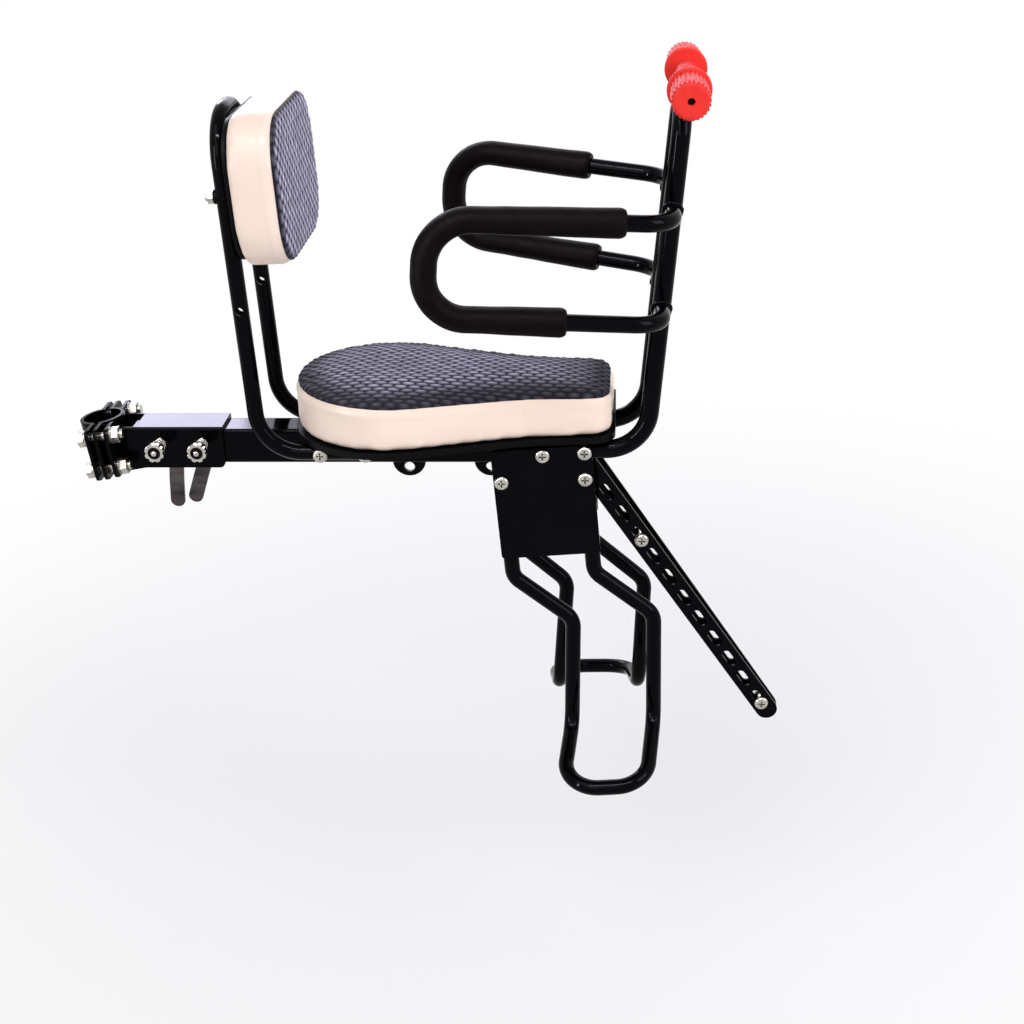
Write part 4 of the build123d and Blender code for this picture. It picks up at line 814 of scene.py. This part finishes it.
seat_cover = stood(top_mesh, seat_place, "seat_cover", "seat")
seat_side = stood(side_mesh, seat_place, "seat_side", "seat")
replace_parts(seat_cover, "seat_panel")
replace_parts(seat_side, "seat_band")

# Backrest cushion: foam on a board under a vinyl band and a woven front, sewn as the seat is.
# Two bolts through the board hold it to the back frame, which leans back a little.
LEG_MIDDLE = Vector((0.13909, 0, 0.234))
REST_STAND = 0.0134
REST_UP = 0.005
REST_LEAN = math.radians(2.7)
REST_W = 0.174
REST_H = 0.128
REST_ROUND = 0.042
REST_SEAM = 0.037
REST_CROWN = REST_SEAM + 0.0045
half_w, half_h = REST_W / 2, REST_H / 2
corners = [np.array(c) for c in ((half_w, half_h), (-half_w, half_h), (-half_w, -half_h), (half_w, -half_h))]
outline = []
for k in range(4):
    outline += corner_arc(corners[k - 1], corners[k], corners[(k + 1) % 4], REST_ROUND)
rest_mesh = blown_cushion("rest", even_loop(outline, OUTLINE_STEP), REST_CROWN, REST_SEAM, PUFF_MOST)
rest_point = np.array((0, 0, REST_SEAM))
rest_normal = np.array((0, 0, 1.0))
top_mesh = parted(rest_mesh, "backrest_cover", rest_point, rest_normal, True, 2)
weave_into(top_mesh, rest_point, rest_normal, 1, 0, -1)
side_mesh = parted(rest_mesh, "backrest_side", rest_point, rest_normal, False, 1)
crinkle(side_mesh, rest_point, rest_normal, 9.1)
rest_out = Vector((math.cos(REST_LEAN), 0, math.sin(REST_LEAN)))
rest_up = Vector((-math.sin(REST_LEAN), 0, math.cos(REST_LEAN)))
rest_home = LEG_MIDDLE + rest_out * REST_STAND + rest_up * REST_UP
rest_place = Matrix(
    (
        (0, rest_up.x, rest_out.x, rest_home.x),
        (1, 0, 0, 0),
        (0, rest_up.z, rest_out.z, rest_home.z),
        (0, 0, 0, 1),
    )
)
top_mesh.materials.append(fabric)
side_mesh.materials.append(vinyl)
backrest_cover = stood(top_mesh, rest_place, "backrest_cover", "seat")
backrest_side = stood(side_mesh, rest_place, "backrest_side", "seat")
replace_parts(backrest_cover, "backrest_panel")
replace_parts(backrest_side, "backrest_band")

# Guard foam: soft black tube foam, cut to length and pushed over the rear of each guard hoop.
# It is squeezed flat where the hoop bends, and a little uneven along its length.
FOAM_TONES = ((0.0022, 0.0010, 0.0013), (0.0052, 0.0028, 0.0032))
foam_mat, bsdf = mottled("black_tube_foam", FOAM_TONES, (90, 2200), (0.36, 0.52), 0.8, 0, 0)
bsdf.inputs["Specular IOR Level"].default_value = 0.035
RAIL_R = 0.00705
FOAM_R = 0.01225
HOOP_X = 0.3109
HOOP_Y = 0.1268
HOOP_SPLAY = 0.225
HOOP_LEAN = 0.00375
BEND_R = 0.036
UPPER_Z = 0.234
UPPER_FALL = 0.092
LOWER_Z = 0.1545
LOWER_FALL = 0.112
FOAM_STEP = 0.0022


def foam_sleeve(name, side, upper_end, lower_end):
    """A sleeve along a hoop: straight, bend, straight, bend, straight, in the hoop's splayed plane."""
    def at(x, z):
        return np.array((x, side * (HOOP_Y - HOOP_SPLAY * (x - HOOP_X)), z))

    upper = (HOOP_X + HOOP_LEAN, UPPER_Z)
    lower = (HOOP_X - HOOP_LEAN, LOWER_Z)
    knots = [
        at(upper_end, upper[1] - UPPER_FALL * (upper_end - upper[0])),
        at(*upper),
        at(*lower),
        at(lower_end, lower[1] - LOWER_FALL * (lower_end - lower[0])),
    ]
    path = [knots[0]]
    bend = [0.0]
    for k in (1, 2):
        to_before = (knots[k - 1] - knots[k]) / np.linalg.norm(knots[k - 1] - knots[k])
        to_after = (knots[k + 1] - knots[k]) / np.linalg.norm(knots[k + 1] - knots[k])
        half = 0.5 * math.acos(float(to_before @ to_after))
        middle = (to_before + to_after) / np.linalg.norm(to_before + to_after)
        centre = knots[k] + middle * BEND_R / math.sin(half)
        first = knots[k] + to_before * BEND_R / math.tan(half) - centre
        last = knots[k] + to_after * BEND_R / math.tan(half) - centre
        turn = math.acos(float(first @ last) / BEND_R ** 2)
        for j in range(25):
            t = j / 24
            spoke = math.sin((1 - t) * turn) * first + math.sin(t * turn) * last
            path.append(centre + spoke / math.sin(turn))
            bend.append(1.0)
    path.append(knots[3])
    bend.append(0.0)
    path = np.array(path)
    run = np.concatenate([[0], np.cumsum(np.linalg.norm(np.diff(path, axis=0), axis=1))])
    stops = np.linspace(0, run[-1], int(run[-1] / FOAM_STEP))
    line = np.stack([np.interp(stops, run, path[:, a]) for a in range(3)], -1)
    tight = np.interp(stops, run, np.array(bend))
    for _ in range(6):
        tight[1:-1] = 0.25 * tight[:-2] + 0.5 * tight[1:-1] + 0.25 * tight[2:]
    ahead = np.gradient(line, axis=0)
    ahead /= np.linalg.norm(ahead, axis=1, keepdims=True)
    flat_way = np.cross(knots[0] - knots[1], knots[2] - knots[1])
    flat_way /= np.linalg.norm(flat_way)
    points = []
    faces = []
    around = 44
    last = len(line) - 1
    for i, (spot, way, tightness) in enumerate(zip(line, ahead, tight)):
        in_way = np.cross(flat_way, way)
        edge = min(i, last - i)
        lip = {0: 0.0016, 1: 0.0004}.get(edge, 0.0)
        for k in range(around):
            a = 2 * math.pi * k / around
            soft = 0.00028 * noise.noise(Vector(spot) * 55 + Vector((math.cos(a), math.sin(a), side)) * 0.7)
            flat_r = FOAM_R * (1 + 0.03 * tightness) + soft - lip
            in_r = FOAM_R * (1 - 0.13 * tightness) + soft - lip
            points.append(spot + flat_way * math.cos(a) * flat_r + in_way * math.sin(a) * in_r)
    bore = len(points)
    for spot, way in zip(line, ahead):
        in_way = np.cross(flat_way, way)
        for k in range(around):
            a = 2 * math.pi * k / around
            points.append(spot + (flat_way * math.cos(a) + in_way * math.sin(a)) * RAIL_R)
    for i in range(last):
        for k in range(around):
            j = (k + 1) % around
            here, there = i * around, (i + 1) * around
            faces.append((here + k, here + j, there + j, there + k))
            faces.append((bore + there + k, bore + there + j, bore + here + j, bore + here + k))
    for k in range(around):
        j = (k + 1) % around
        faces.append((bore + k, bore + j, j, k))
        end = last * around
        faces.append((end + k, end + j, bore + end + j, bore + end + k))
    mesh = bpy.data.meshes.new(name)
    mesh.from_pydata([tuple(p) for p in points], [], faces)
    work = bmesh.new()
    work.from_mesh(mesh)
    bmesh.ops.recalc_face_normals(work, faces=work.faces[:])
    work.to_mesh(mesh)
    work.free()
    mesh.polygons.foreach_set("use_smooth", [i < 2 * last * around for i in range(len(mesh.polygons))])
    mesh.materials.append(foam_mat)
    piece = stood(mesh, Matrix.Identity(4), name, "seat")
    return piece


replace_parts(foam_sleeve("foam_sleeve_right", -1, 0.468, 0.420), "guard_foam_right")
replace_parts(foam_sleeve("foam_sleeve_left", 1, 0.437, 0.444), "guard_foam_left")

# Hand grips: moulded in soft red plastic with a flange and lengthwise ribs, one for each hand.
# They are pressed on the ends of the handle rod, and have a small hole in the outer end.
GRIP_TONES = ((0.74, 0.026, 0.020), (0.88, 0.045, 0.036))
red_plastic, bsdf = mottled("red_grip_plastic", GRIP_TONES, (60, 1200), (0.4, 0.56), 0.35, 0, 0.0006)
bsdf.inputs["Specular IOR Level"].default_value = 0.1
bsdf.inputs["Subsurface Weight"].default_value = 0.08
bsdf.inputs["Subsurface Radius"].default_value = (0.004, 0.001, 0.001)
dress(red_plastic, "handle_grip_left", "handle_grip_right")
